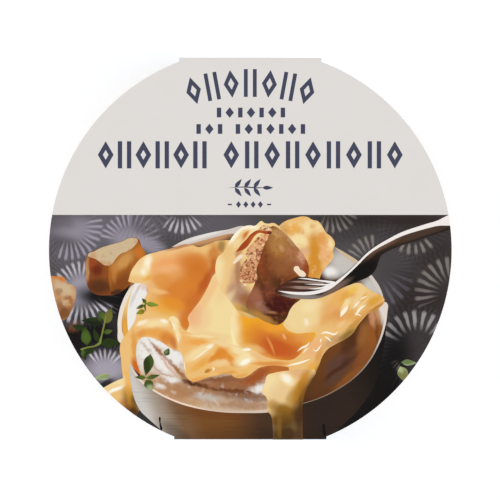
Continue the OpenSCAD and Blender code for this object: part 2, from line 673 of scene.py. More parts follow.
def hoop(radius, low, high, lap_at):
    """A bent hoop with its outer end lying over its inner one, standing on the box's axis."""
    ring = spun(wall_section(radius - HOOP, radius, low, high), 0, 360, HOOP_STEPS)
    rounded(ring, RIM_BEVEL)
    turn = math.degrees(LAP_L / radius)
    start = lap_at - turn / 2
    section = wall_section(radius - HOOP / 2, radius + LAP_STEP, low + LAP_TRIM, high - LAP_TRIM)
    tongue = spun(section, start, turn, round(HOOP_STEPS * turn / 180))
    for vertex in tongue.verts:
        reach = Vector(vertex.co.xy)
        if reach.length > radius:
            along = (math.degrees(math.atan2(reach.y, reach.x)) - start) % 360 / turn
            rise = min(along / RAMP, 1)
            height = LAP_STEP * rise * rise * (3 - 2 * rise)
            vertex.co.xy = reach.normalized() * (radius - SUNK + height * (1 + SUNK / LAP_STEP))
    move_into(ring, tongue)
    return ring


print(f"a hoop has {HOOP_STEPS} steps, and its end rises over {RAMP * LAP_L:.1f} mm of the lap")

# %% Lid and base
BOARD_SET = 0.3
BOARD_FIT = 0.05
BOARD_BEVEL = 0.2
LEVEL_FACE = 0.7


def make_hoop(node, radius, low, high, lap_at, wood):
    """A hoop whose level faces, the cut rims, have a finish of their own."""
    bent = hoop(radius, low, high, lap_at)
    bent.normal_update()
    for face in bent.faces:
        face.material_index = int(abs(face.normal.z) > LEVEL_FACE)
    bmesh.ops.translate(bent, verts=bent.verts, vec=(0, BOX_Y, 0))
    make_piece(node + "_hoop", bent, [wood, rim_wood], [node])


def disc(radius, low, high):
    bm = bmesh.new()
    bmesh.ops.create_cone(
        bm, cap_ends=True, segments=HOOP_STEPS, radius1=radius, radius2=radius, depth=high - low
    )
    bmesh.ops.translate(bm, verts=bm.verts, vec=(0, BOX_Y, (low + high) / 2))
    rounded(bm, BOARD_BEVEL)
    return bm


make_hoop("lid", LID_R, lid_low.z, lid_high.z, LID_LAP_AT, lid_wood)
lid_board = disc(LID_R - HOOP - BOARD_FIT, lid_high.z - BOARD, lid_high.z - BOARD_SET)
make_piece("lid_board", lid_board, [lid_wood], ["lid"])

make_hoop("base", BASE_R, base_low.z, base_high.z, BASE_LAP_AT, base_wood)
base_core = disc(BASE_R - HOOP - BOARD_FIT, base_low.z, base_high.z)
make_piece("base_core", base_core, [base_wood], ["base"])

# %% [markdown]
# ## Staples
# Each staple is flat wire: a crown that lies on the wood and two legs pushed into it. It starts
# as a cube, is cut near each end, and the legs are extruded from the inner faces there. Bevels
# bend the shoulders. The place of each one is read from its node in the frame.

# %% Staples
WIRE_T = 0.5
WIRE_W = 0.8
SHOULDER = 0.3
WIRE_EDGE = 0.1
BITE = 1.2
NEAR = 0.01

wire = Finish("dull_wire", roughness=0.38, metallic=1)
wire_at = wire.object_mm()
scratches = wire.speckle(wire.placed(wire_at, rx=0.4, ry=0.4, rz=3), 1, 2)
wire.colour(wire.mix("#A9A49B", "#7D7468", wire.step(scratches, 0.4, 0.7)))
wire.roughness(0.3 + scratches * 0.25)


def add_staple(bm, node):
    """Adds the staple that stands for that node, with its crown on the hoop's face."""
    low, high = box_mm(node)
    middle = (low + high) / 2 - Vector((0, BOX_Y, 0))
    length = high.z - low.z
    reach = Vector(middle.xy).length + (BITE - WIRE_T) / 2
    one = bmesh.new()
    bmesh.ops.create_cube(one, size=1)
    bmesh.ops.scale(one, verts=one.verts, vec=(WIRE_T, WIRE_W, length))
    for z in (-length / 2 + WIRE_T, length / 2 - WIRE_T):
        bmesh.ops.bisect_plane(
            one,
            geom=one.verts[:] + one.edges[:] + one.faces[:],
            plane_co=(0, 0, z),
            plane_no=(0, 0, 1),
        )
    one.normal_update()
    roots = [
        f
        for f in one.faces
        if f.normal.x < -0.9 and abs(f.calc_center_median().z) > length / 2 - WIRE_T
    ]
    for root in roots:
        leg = bmesh.ops.extrude_discrete_faces(one, faces=[root])["faces"]
        bmesh.ops.translate(one, verts=leg[0].verts, vec=(-BITE, 0, 0))
    shoulders = [
        e
        for e in sharp_edges(one)
        if all(v.co.x > 0 and abs(v.co.z) > length / 2 - NEAR for v in e.verts)
        and abs(e.verts[0].co.y - e.verts[1].co.y) > WIRE_W / 2
    ]
    rounded(one, SHOULDER, 3, shoulders)
    rounded(one, WIRE_EDGE, 2)
    turn = Matrix.Rotation(math.atan2(middle.y, middle.x), 4, "Z")
    place = Matrix.Translation((0, BOX_Y, middle.z)) @ turn @ Matrix.Translation((reach, 0, 0))
    bmesh.ops.transform(one, verts=one.verts, matrix=place)
    move_into(bm, one)


for part in ("lid", "base"):
    names = sorted(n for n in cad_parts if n.startswith(part + "_") and "staple" in n)
    staples = bmesh.new()
    for name in names:
        add_staple(staples, name)
    make_piece(f"{part}_staples", staples, [wire], names)

# %% [markdown]
# ## Layers of ink
# The label is drawn flat, in millimetres from the middle of the round panel, x to the right and
# y up. Each field of colour is a thin sheet cut from its outline and laid on the card at its own
# level, so that a higher field covers a lower one. The fields of one piece are a hair apart in
# height, because faces that lie in one plane would show through each other. A field that runs
# past the card's edge is cut to the blank's shape with a Boolean, and every field is folded with
# the card, so the picture carries on down the front strap.

# %% Lay down ink
UNDER = -0.005
OUTLINE_STEP = 0.0006
STEPPED = 12
blank_shape = bpy.data.meshes.new("blank_shape")
cutter = new_sheet([blank_outline()], -1, 1)
cutter.to_mesh(blank_shape)
cutter.free()


def clip_to_blank(bm):
    """The part of the bmesh that lies on the blank."""
    mesh = bpy.data.meshes.new("loose_ink")
    bm.to_mesh(mesh)
    bm.free()
    loose = bpy.data.objects.new("loose_ink", mesh)
    knife = bpy.data.objects.new("knife", blank_shape)
    for helper in (loose, knife):
        scene.collection.objects.link(helper)
    cut = loose.modifiers.new("cut", "BOOLEAN")
    cut.operation = "INTERSECT"
    cut.solver = "EXACT"
    cut.object = knife
    bpy.context.view_layer.update()
    kept = bpy.data.meshes.new_from_object(
        loose.evaluated_get(bpy.context.evaluated_depsgraph_get())
    )
    clipped = bmesh.new()
    clipped.from_mesh(kept)
    for helper in (loose, knife):
        bpy.data.objects.remove(helper)
    bpy.data.meshes.remove(mesh)
    bpy.data.meshes.remove(kept)
    return clipped


def on_blank(points):
    """Label positions as blank positions."""
    return [(x, y - PANEL_SHIFT, *corner) for x, y, *corner in points]


def ink(name, finish, level, fields, clip=False):
    """One piece of ink. A field is an outline, or a tuple of an outline and the holes in it."""
    bm = bmesh.new()
    for i, field in enumerate(fields):
        outlines = field if isinstance(field, tuple) else (field,)
        top = level * INK - i % STEPPED * OUTLINE_STEP
        add_sheet(bm, [on_blank(o) for o in outlines], UNDER, top)
    if clip:
        bm = clip_to_blank(bm)
    fold_up(bm)
    make_piece(name, bm, [finish])


print(f"{LEVELS} levels of ink are {PRINT:.2f} mm thick")

# %% [markdown]
# ## The places of the lettering
# Where the pack has words, plain ornament stands in the same rows and the same dark ink: tall
# hollow lozenges take turns with pairs of stems, and small solid lozenges with short bars. The
# top row lies on an arc. In the place of the emblem is a sprig in thin line. An outline is drawn
# once round its own middle, and then turned and moved to each of its places.

# %% Ornament
def moved(outline, x, y, turn=0):
    """The outline turned about its own middle and set down at x, y."""
    cos, sin = math.cos(math.radians(turn)), math.sin(math.radians(turn))
    return [(x + a * cos - b * sin, y + a * sin + b * cos, *corner) for a, b, *corner in outline]


def lozenge(width, height):
    return [
        (-width / 2, 0, CORNER),
        (0, -height / 2, CORNER),
        (width / 2, 0, CORNER),
        (0, height / 2, CORNER),
    ]


def bar(width, height, x=0):
    sides = [(x - width / 2, -height / 2), (x + width / 2, -height / 2)]
    sides += [(a, height / 2) for a, _ in reversed(sides)]
    return [(*side, CORNER) for side in sides]


def hollow_lozenge(width, height, line):
    """Two lozenges, one in the other, a line's width apart."""
    inset = line * math.hypot(width, height) * 2 / (width * height)
    return [lozenge(width, height), lozenge(width * (1 - inset), height * (1 - inset))]


def ornament(i, width, height, line):
    """The sheets of mark i of a row: hollow lozenges and pairs of stems take turns."""
    if i % 2:
        reach = (width - line) / 2 * 0.8
        return [[bar(line, height, -reach)], [bar(line, height, reach)]]
    return [hollow_lozenge(width, height, line)]


def small_ornament(i, width, height):
    return [[lozenge(width * 1.15, height * 1.1)]] if i % 2 else [[bar(width * 0.6, height)]]


def set_down(mark, x, y, turn=0):
    """The sheets of a mark, each a list of outlines, moved to x, y."""
    return [[moved(outline, x, y, turn) for outline in sheet] for sheet in mark]


def row_of(marks, start, end, count, y):
    """Sheets for a level row of marks spread evenly from x start to x end."""
    pitch = (end - start) / count
    row = []
    for i in range(count):
        row += set_down(marks(i), start + pitch * (i + 0.5), y)
    return row


def navy_ink():
    finish = varnished("navy_print", roughness=0.45)
    cloud = finish.speckle(finish.object_mm(), 2, detail=3)
    finish.colour(finish.mix("#40445A", "#474A5E", cloud))
    return finish


print("a hollow lozenge:", hollow_lozenge(4, 8, 1))

# %% Rows of marks
TALL = 8.1
TALL_W = 4.7
TALL_LINE = 1.3
TINY = (1.5, 2)
DASH = (1.2, 0.45)
DASHES_AT = (-6.1, 5.6)
TINY_Y = 13.6
FAN_MARKS = 7
FAN_MARK = (4.5, 8.3, 1.15)
FAN_R = 63
FAN_Y = 49.8
FAN_STEP = 5.7
SMALL = 2.9
SMALL_W = 2.2


def tall_mark(i):
    return ornament(i, TALL_W, TALL, TALL_LINE)


def small_mark(i):
    return small_ornament(i, SMALL_W, SMALL)


def tiny_mark(i):
    return [[lozenge(*TINY)]]


ROWS = [
    (small_mark, -10.9, 11.3, 7, 41),
    (small_mark, -17, -7.4, 3, 36.1),
    (small_mark, -5.3, 17.3, 7, 36.1),
    (tall_mark, -45.9, -12.2, 6, 28.4),
    (tall_mark, -8.7, 46.1, 9, 28.4),
    (tiny_mark, -4.6, 4.1, 4, TINY_Y),
]

sheets = []
for i in range(FAN_MARKS):
    angle = (i - FAN_MARKS // 2) * FAN_STEP / FAN_R
    fan_x, fan_y = FAN_R * math.sin(angle), FAN_Y - FAN_R * (1 - math.cos(angle))
    sheets += set_down(ornament(i, *FAN_MARK), fan_x, fan_y, -math.degrees(angle))
for row in ROWS:
    sheets += row_of(*row)
for x in DASHES_AT:
    sheets += set_down([[bar(*DASH)]], x, TINY_Y)
ink("print_marks", navy_ink(), 1, [tuple(sheet) for sheet in sheets])

# %% [markdown]
# ## Soft colour
# A printed picture has soft changes of colour inside its fields. They are laid on in the shader
# as dabs: each is a blurred ellipse of one colour at a place on the label, which can be turned. A
# little noise moves the place first, so that no dab looks like an ellipse. A finish is then a base
# colour and a list of dabs, from the one that lies lowest.

# %% Palette
WHITE_LIGHT = "#FFF9E6"
CREAM = "#F8E2AC"
BUTTER = "#F1CE8C"
HONEY = "#EDBF78"
GOLD = "#EBA83A"
AMBER = "#E3974C"
ORANGE = "#D67A2A"
EMBER = "#C65A20"
RUST = "#A4431A"
TOAST = "#C49263"
CRUST = "#9A5A22"
BARK = "#6E3A14"
UMBER = "#482711"
SOOT = "#22150F"
COAL = "#0C0908"
CHALK = "#EFEBE6"
STONE = "#C8C3BC"
PEWTER = "#8D857F"
SLATE = "#4C484A"
DUSK = "#6A656E"
LILAC = "#A8A2AF"
MIST = "#CBC7D0"
SAND = "#CFB792"
PEACH = "#EFB47E"
BLUSH = "#D9A98C"
BRONZE = "#7C5A1E"
MAROON = "#420F0B"
OLIVE = "#6E6C2C"
MOSS = "#26340F"
FERN = "#5A762C"
SAGE = "#A3AC82"
HAZEL = "#8A5A34"
COCOA = "#5A3B2F"
COPPER = "#A0501E"
CARAMEL = "#B9682A"
FAWN = "#B08468"
APRICOT = "#E08826"
OCHRE = "#D58F2C"
SIENNA = "#8A4A30"
WALNUT = "#6B4D3C"
print("from dark to light, the cloth goes", COAL, SOOT, SLATE, DUSK, PEWTER, LILAC, MIST)

# %% Dabs
def dab(colour, x, y, rx, ry, turn=0, share=1, soft=0.6):
    """A blurred ellipse. It is half faded out at its radii, and soft says how slowly it fades."""
    return (colour, x, y, rx, ry, turn, share, soft)


def wobbled(finish, amount, size):
    """The place on the flat label, moved a little this way and that by noise."""
    at = flat_place(finish)
    if not amount:
        return at
    noise_colour = finish.node("TexNoise", None, {"Vector": at, "Scale": 1 / size, "Detail": 2}, 1)
    shift = finish.node(
        "Mapping", None, {"Vector": noise_colour, "Location": (-0.5, -0.5, 0), "Scale": (1, 1, 0)}
    )
    scaled = finish.node("VectorMath", {"operation": "SCALE"}, {0: shift, 3: amount * 2})
    return finish.node("VectorMath", {"operation": "ADD"}, {0: at, 1: scaled})


def laid_on(finish, at, under, dabs):
    """The colour under with the dabs laid over it in turn."""
    for colour, x, y, rx, ry, turn, share, soft in dabs:
        spot = finish.placed(at, x=x, y=y, rx=rx, ry=ry, turn=turn)
        away = finish.node("VectorMath", {"operation": "LENGTH"}, {0: spot}, "Value")
        under = finish.mix(under, colour, finish.step(away, 1 + soft, 1 - soft, share))
    return under


def flecked(finish, colour, spots, flecks):
    """The colour with flecks laid over it. Each is (colour, start, end, most), a step on spots."""
    for over, start, end, most in flecks:
        colour = finish.mix(colour, over, finish.step(spots, start, end, most))
    return colour


def painted(
    name, base, dabs, wobble=0.5, size=3, roughness=SATIN, spots=None, flecks=(), shades=()
):
    """A print: a base, dabs, flecks where noise is past a level, and shades, which are dabs too."""
    finish = varnished(name, roughness=roughness)
    at = wobbled(finish, wobble, size)
    colour = laid_on(finish, at, base, dabs)
    if spots:
        colour = flecked(finish, colour, finish.speckle(flat_place(finish), *spots), flecks)
    finish.colour(laid_on(finish, at, colour, shades))
    return finish


print("one dab:", dab(CREAM, 0, 0, 2, 1))

# %% [markdown]
# A few outlines come up again and again: a ribbon along a spine, which makes stems, tines, rims
# and shines, and a leaf, which is a ribbon that is widest in its middle.

# %% Ribbons
def ribbon(spine, widths):
    """The outline round a spine that is as wide at each point as widths says. 0 is a sharp tip."""
    if not isinstance(widths, list):
        widths = [0] + [widths] * (len(spine) - 2) + [0]
    left, right = [], []
    last = len(spine) - 1
    for i, ((x, y), width) in enumerate(zip(spine, widths)):
        before, after = Vector(spine[max(i - 1, 0)]), Vector(spine[min(i + 1, last)])
        side = (after - before).normalized().orthogonal() * width / 2
        if width:
            left.append((x + side.x, y + side.y))
            right.append((x - side.x, y - side.y))
        else:
            left.append((x, y, CORNER))
    return left + right[::-1]


def leaf(x, y, length, width, turn):
    """A leaf from its stalk at x, y, pointing along turn."""
    spine = []
    for share in (0, 0.3, 0.6, 1):
        angle = math.radians(turn)
        spine.append((x + length * share * math.cos(angle), y + length * share * math.sin(angle)))
    return ribbon(spine, [0, width, width * 0.85, 0])


print("a leaf's outline has", len(leaf(0, 0, 4, 2, 0)), "points")

# %% Emblem
SPRIG_Y = 18.6
SPRIG_LINE = 0.3
sprig = [ribbon([(-6.6, SPRIG_Y), (-2, SPRIG_Y + 0.2), (2, SPRIG_Y), (5, SPRIG_Y)], SPRIG_LINE)]
for x in (-4.6, -1.8, 1):
    for turn in (52, -52):
        sprig.append(leaf(x, SPRIG_Y, 3.3, 1.1, turn))
sprig.append(leaf(3.6, SPRIG_Y, 3.2, 1.1, 0))
ink("print_emblem", navy_ink(), 2, sprig)

# %% [markdown]
# ## The cloth
# The picture's ground is a dark woven cloth with fans of pale petals. A fan is made from the
# angle and the distance to its middle: the angle is cut into rays by a cosine, and the distance
# and the sector keep them in a ring. Each fan is one call, and they all lie in one finish. Under
# the bright fans lie faint ones that go nearly all the way round, and shades come last.

# %% Fans
RAY_EDGES = (-0.5, 0.9)
FULL_AT = 0.72
OUTER_FADE = 1.3


def fan(finish, at, under, colour, x, y, inner, outer, mid, half, rays, share):
    """Rays round x, y between two radii, in a sector of half degrees each side of mid."""
    spot = finish.placed(at, x=x, y=y, turn=mid)
    split = finish.node("SeparateXYZ", None, {0: spot})
    across = Wire(finish, split.socket.node.outputs[1])
    angle = finish.maths("ARCTAN2", across, split)
    away = finish.node("VectorMath", {"operation": "LENGTH"}, {0: spot}, "Value")
    petals = finish.step(finish.maths("COSINE", angle * rays), *RAY_EDGES)
    ring = finish.step(away, inner, outer * FULL_AT) * finish.step(away, outer, outer - OUTER_FADE)
    spread = math.radians(half)
    sector = finish.step(finish.maths("ABSOLUTE", angle), spread + 0.12, spread - 0.04, share)
    return finish.mix(under, colour, petals * ring * sector)


print(f"a fan is full from {FULL_AT} of its radius, and fades over its last {OUTER_FADE} mm")

# %% Cloth
CLOTH_TONES = [
    dab(DUSK, -48, 5, 16, 8, 0, 0.9),
    dab(LILAC, -53, 6.5, 6, 3.5, -10, 0.55),
    dab(SLATE, -57, 9, 5, 3, 0, 0.6),
    dab(LILAC, -37, 3.5, 4.5, 3.5, 0, 0.6),
    dab(LILAC, -30, 1.6, 4.5, 2.2, -25, 0.7),
    dab(SOOT, -56, 1, 4, 3.5, 0, 0.4),
    dab(SLATE, -46, -4, 8, 6, 0, 0.6),
    dab(LILAC, -50.5, -12.5, 4.5, 5.5, 0, 0.9),
    dab(DUSK, -9, 7, 9, 4, 0, 0.5),
    dab(COAL, -42, -14.2, 9, 3.4, -8, 1),
    dab(COAL, -38.5, -16, 4.5, 6, 20, 1, soft=0.7),
    dab(COAL, -46, -24, 9, 6, -30, 0.9, soft=0.8),
    dab(COAL, -53, -27, 4, 7, 30, 0.95),
    dab(LILAC, -42.5, -35.3, 6.5, 3.6, 0, 0.95),
    dab(COAL, -43, -39.8, 2.6, 0.9, 25, 0.9),
    dab(CRUST, -52.3, -22.6, 2, 1.5, 30, 0.6),
    dab(SOOT, 42, 8, 26, 5, 3, 0.55),
    dab(SOOT, 51, -1, 11, 8, 0, 0.5),
    dab(SOOT, 58, -4, 6, 9, 0, 0.4),
    dab(SOOT, 51, -15, 8, 5, 0, 0.6),
    dab(SLATE, 42, -5, 6, 5, 0, 0.5),
    dab(SOOT, 50, -24, 12, 18, 0, 0.55),
    dab(COAL, 41, -38, 6, 16, -12, 1),
    dab(COAL, 36, -51, 14, 9, 35, 1),
    dab(COAL, -30, -52, 9, 4, -32, 0.6),
    dab(COAL, 0, -78, 60, 16, 0, 0.55),
]
PETALS = [
    (LILAC, -54, 7, 3.5, 10.5, -48, 66, 30, 0.75),
    (DUSK, -54, 6, 3, 9, -130, 40, 28, 0.5),
    (MIST, -50.5, -12.5, 4, 9.6, 118, 48, 30, 0.75),
    (MIST, -50.5, -11, 5, 11.6, -88, 54, 32, 0.95),
    (LILAC, -36, 2, 4, 9.5, 128, 40, 30, 0.8),
    (LILAC, -36, 2, 4, 10, 50, 40, 30, 0.35),
    (MIST, -43.5, -36.5, 3, 7.6, 88, 46, 27, 0.9),
    (MIST, -20.5, 13.5, 3.5, 9.2, -88, 40, 26, 0.75),
    (DUSK, -32, 14, 3, 10, -60, 40, 26, 0.7),
    (PEWTER, 24, 14, 3, 9.5, -72, 42, 26, 0.75),
    (PEWTER, 37, -4.5, 3.5, 9.5, 122, 34, 26, 0.75),
    (DUSK, 37, -5, 4, 13, -48, 28, 26, 0.6),
    (PEWTER, 48.3, 7.5, 5, 9.3, -82, 36, 22, 0.75),
    (PEWTER, 60, -13, 3, 11.5, 143, 55, 24, 0.7),
    ("#A19B9C", 49.5, -29.5, 5, 12, 93, 62, 24, 0.85),
    (PEWTER, 46.5, -31.5, 2.5, 5.8, -140, 18, 26, 0.8),
    (DUSK, 34, -61, 3, 9, -90, 80, 28, 0.35),
    (DUSK, -33, -62, 3, 9, -80, 80, 28, 0.35),
]
CLOTH_SHADES = [
    dab(COAL, -42, -14.8, 7, 1.7, -10, 0.95, soft=0.7),
    dab(COAL, -37, -14, 3, 4, 30, 0.95, soft=0.7),
    dab(COAL, -46, -25, 7, 4, -30, 0.85, soft=0.8),
    dab(COAL, 40.5, -38, 3, 14, -14, 0.95, soft=0.8),
    dab(COAL, 36, -50, 12, 6, 42, 0.9, soft=0.8),
    dab(SOOT, 47, -10, 5, 3, -30, 0.35),
    dab(SOOT, 40, 9, 22, 1.6, 0, 0.5),
]
PICTURE_TOP = 10.5
PAST_EDGE = 1
FAINT_HALF = 175
FAINT_LEFT = 0.4
FAINT_RIGHT = 0.12

cloth = varnished("cloth_print")
cloth_at = wobbled(cloth, 0.35, 2.5)
cloth_colour = laid_on(cloth, cloth_at, SLATE, CLOTH_TONES)
for _, x, y, inner, outer, mid, _, rays, share in PETALS:
    faint = share * (FAINT_LEFT if x < 0 else FAINT_RIGHT)
    rings = (inner - 2, outer + 2, mid, FAINT_HALF, rays * 2, faint)
    cloth_colour = fan(cloth, cloth_at, cloth_colour, DUSK, x, y, *rings)
for petals in PETALS:
    cloth_colour = fan(cloth, cloth_at, cloth_colour, *petals)
cloth.colour(laid_on(cloth, cloth_at, cloth_colour, CLOTH_SHADES))

strap_end = crease_ends[1][1] + PANEL_SHIFT
cloth_field = [
    (-PANEL_R - PAST_EDGE, strap_end, CORNER),
    (PANEL_R + PAST_EDGE, strap_end, CORNER),
    (PANEL_R + PAST_EDGE, PICTURE_TOP, CORNER),
    (-PANEL_R - PAST_EDGE, PICTURE_TOP, CORNER),
]
ink("print_cloth", cloth, 1, [cloth_field], clip=True)

# %% [markdown]
# ## What lies on the cloth
# Two pieces of torn bread and sprigs of herb lie behind the box, out of focus, so their changes
# of colour are soft dabs. Some of them run past the card's edge and are cut by it. The bread at
# the left shows its crust, its torn side and its crumb, each a field of its own.

# %% Far bread
far_bread = [
    (-49, -2.6), (-47.8, -0.8), (-45, 0.5), (-43, 1.2), (-38.5, 2.6), (-35, 3.8), (-33.4, 3.3),
    (-32.4, 1), (-31, -1.4), (-31.5, -4), (-34, -8), (-36, -10.4), (-39.5, -12.9), (-43, -13.5),
    (-46.6, -12.9), (-48.4, -11), (-49, -7),
]
far_bread_top = [
    (-48.4, -1.5), (-46.4, -0.3), (-44.5, 0.7), (-43, 1.2), (-38.5, 2.5), (-35, 3.7), (-33.6, 3.1),
    (-34.4, 1.4), (-36.6, -0.3), (-38.6, -1.1), (-40, -2.5), (-41.5, -4.3), (-43, -4.6),
    (-44.6, -3.7), (-46, -2.7), (-47.4, -2.2),
]
FAR_BREAD_TONES = [
    dab("#8E4E1E", -43.4, -6.6, 3, 4, 0, 0.6),
    dab(TOAST, -48.6, -6, 0.6, 4, -2, 0.8),
    dab("#6A2410", -45.6, -6, 1.6, 1.8, 0, 0.9),
    dab(RUST, -47, -3.6, 1, 1.6, -20, 0.6),
    dab(UMBER, -45, -11, 3.6, 2.2, 0, 0.8),
]
far_bread_side = [
    (-42.3, -4.4, CORNER), (-40, -2.5), (-38.6, -1.1), (-36.6, -0.3), (-34.4, 1.4),
    (-33.6, 3.1, CORNER), (-32.4, 1), (-31, -1.4), (-31.5, -4), (-34, -8), (-36, -10.4),
    (-39.5, -12.9), (-41.4, -13.3, CORNER), (-42.2, -9),
]
FAR_SIDE_TONES = [
    dab("#CF9650", -37.6, -3.2, 3.6, 1.6, 42, 0.9),
    dab(ORANGE, -33, -0.8, 1.2, 2, 15, 0.6),
    dab("#7A3E12", -38.6, -10, 4.4, 2.2, 40, 0.85),
    dab("#8C4A16", -36.6, -6, 0.5, 2.6, -15, 0.5),
    dab("#C88440", -40.6, -6.4, 0.8, 3, 4, 0.5),
    dab(SOOT, -40.6, -13, 3, 0.9, 20, 0.8),
]
FAR_TOP_TONES = [dab(TOAST, -47, -1.8, 1.3, 1, 0, 0.6), dab(TOAST, -43, -4, 2, 0.7, -10, 0.5)]
near_edge_bread = [
    (-62, -7.4, CORNER), (-58, -7.8), (-55.6, -8.1), (-54.6, -9.8), (-52.6, -10.6), (-51.9, -12.5),
    (-52.4, -15.5), (-53.4, -18.2), (-55, -20.6), (-57.5, -21), (-62, -20, CORNER),
]
EDGE_BREAD_TONES = [
    dab(ORANGE, -57, -8.6, 2.6, 0.9, -5, 0.8),
    dab(SAND, -55.6, -11.6, 3.4, 1.6, -30, 0.9),
    dab(HAZEL, -57, -12.4, 1, 0.8, 20, 0.5),
    dab(HAZEL, -54.2, -14.4, 1.2, 0.6, -30, 0.6),
    dab(SAND, -55.6, -15.6, 1.6, 0.8, -20, 0.6),
    dab(BARK, -55.4, -18.9, 2.8, 2.2, 0, 0.85),
    dab(BARK, -56.8, -15.8, 0.9, 1.5, 20, 0.5),
    dab(CRUST, -53.2, -16.5, 1, 2, 10, 0.6),
]
far_crust = painted("far_bread_print", "#86461C", FAR_BREAD_TONES)
ink("print_far_bread", far_crust, 2, [far_bread])
far_side = painted("far_bread_side_print", "#A8621F", FAR_SIDE_TONES)
ink("print_far_bread_side", far_side, 2.5, [far_bread_side])
far_top = painted(
    "far_bread_top_print",
    SAND,
    FAR_TOP_TONES,
    wobble=1,
    size=1.5,
    spots=(1.6, 4),
    flecks=[(TOAST, 0.5, 0.7, 0.6)],
)
ink("print_far_bread_top", far_top, 3, [far_bread_top])
edge_print = painted("edge_bread_print", TOAST, EDGE_BREAD_TONES, wobble=1.4, size=1.6)
ink("print_edge_bread", edge_print, 2, [near_edge_bread], clip=True)

# %% Herbs on the cloth
dark_leaves = [
    leaf(-43.8, -21.4, 6.6, 2.4, 176),
    leaf(-43.4, -22, 5.2, 2.7, 66),
    leaf(-48.6, -28.4, 5.8, 3, 98),
    leaf(-44.6, -27.8, 5.8, 2.7, 4),
    leaf(-50, -29.6, 3.4, 1.6, -72),
    leaf(-45.2, -27.5, 4.5, 1.6, 110),
    leaf(-43.4, -20.6, 3.2, 1.7, 128),
    leaf(-46.6, -29, 3.6, 1.9, 215),
    leaf(-43.9, -24.6, 3, 1.5, 12),
    leaf(-49.6, -23.4, 3.6, 1.8, 165),
]
HERB_TONES = [
    dab(OLIVE, -42, -20.3, 1.6, 3.4, 10, 1),
    dab(FERN, -48.9, -26, 1.3, 2.2, 10, 0.6),
    dab(COAL, -46.5, -21.8, 3.6, 0.9, -5, 0.6),
    dab(FERN, -44.4, -19.6, 1, 1.2, 0, 0.6),
    dab(FERN, -42.4, -24.4, 1.2, 0.6, 10, 0.6),
    dab(FERN, -50.3, -30.5, 1, 1.5, 0, 0.6),
]
stems = [
    ribbon([(-43, -19.5), (-43.6, -22.5), (-44.3, -25.5), (-44.9, -28)], [0.2, 0.5, 0.45, 0.35]),
    ribbon([(-44.6, -27.6), (-46.5, -28.6), (-48.6, -29), (-50.6, -29.7)], [0.35, 0.4, 0.4, 0.25]),
]
pale_leaves = [
    leaf(-41.6, -37.3, 5.2, 1.9, 190),
    leaf(44.9, -33.4, 4.8, 1.7, -3),
    leaf(44.6, -34.6, 5.4, 3, -68),
]
PALE_LEAF_TONES = [
    dab(OLIVE, 45.3, -37.5, 2.2, 2.6, 20, 0.8),
    dab("#4E6A2C", 46.6, -33.2, 2.6, 0.8, 0, 0.8),
    dab("#B9C490", 44.8, -35.6, 0.9, 1.1, 20, 0.7),
    dab(FERN, -43, -37.7, 2, 0.5, 10, 0.4),
]
ink("print_dark_leaves", painted("dark_leaf_print", MOSS, HERB_TONES), 2, dark_leaves, clip=True)
ink("print_stems", painted("stem_print", "#78823C", []), 3, stems, clip=True)
pale_leaf_print = painted("pale_leaf_print", SAGE, PALE_LEAF_TONES)
ink("print_pale_leaves", pale_leaf_print, 3, pale_leaves, clip=True)

# %% [markdown]
# ## The box in the picture
# The picture shows the pack's own wooden box, open, seen from the front. Its wall is one field
# whose colour runs from pale at the left to near black at the right, in stops along it, with the
# grain as long thin noise. It goes on past the fold, down the front strap. Two staples show in it.

# %% Box wall
box_wall = [
    (-38.9, -22, CORNER), (-38.6, -28), (-37, -33), (-36, -38), (-34.8, -43.5), (-32.8, -47.8),
    (-30.4, -50.2), (-27, -53.2), (-23.5, -56.2), (-19, -60), (-12, -63.8), (0, -65.6), (12, -63.8),
    (19, -59.8), (23, -55.6), (28.5, -51.2), (33.4, -46), (36.8, -40.5), (39, -33), (40.2, -26),
    (40.5, -20, CORNER), (30, -14, CORNER), (-30, -14, CORNER),
]
WALL_STOPS = [
    ("#A7998A", -35, -29.5),
    ("#7E5D40", -31, -24),
    ("#774A20", -26, -17),
    ("#4A3120", -12, 0),
    ("#2E2018", -1, 17),
    ("#120E0B", 26, 42),
]
WALL_SLANT = 0.37
WALL_START = 14.8
WALL_TONES = [
    dab(BARK, -12, -48.6, 9, 1.4, -6, 0.5),
    dab("#1A120D", 4, -58, 22, 5, 0, 0.45),
    dab("#35251B", -22, -55, 6, 2, -36, 0.5),
    dab(COAL, 0, -66, 26, 4.5, 0, 0.7),
]
wall = varnished("pictured_wall_print")
wall_at = wobbled(wall, 0.5, 4)
wall_split = wall.node("SeparateXYZ", None, {0: wall_at})
wall_y = Wire(wall, wall_split.socket.node.outputs[1])
wall_along = wall_split + wall_y * WALL_SLANT + WALL_START
wall_colour = "#CFCAC4"
for stop_colour, start, end in WALL_STOPS:
    wall_colour = wall.mix(wall_colour, stop_colour, wall.step(wall_along, start, end))
wall_colour = laid_on(wall, wall_at, wall_colour, WALL_TONES)
wall_grain = wall.speckle(wall.placed(flat_place(wall), rx=9, ry=0.5), 1, 3)
wall.colour(flecked(wall, wall_colour, wall_grain, [(COAL, 0.5, 0.75, 0.22)]))
ink("print_box_wall", wall, 2, [box_wall], clip=True)

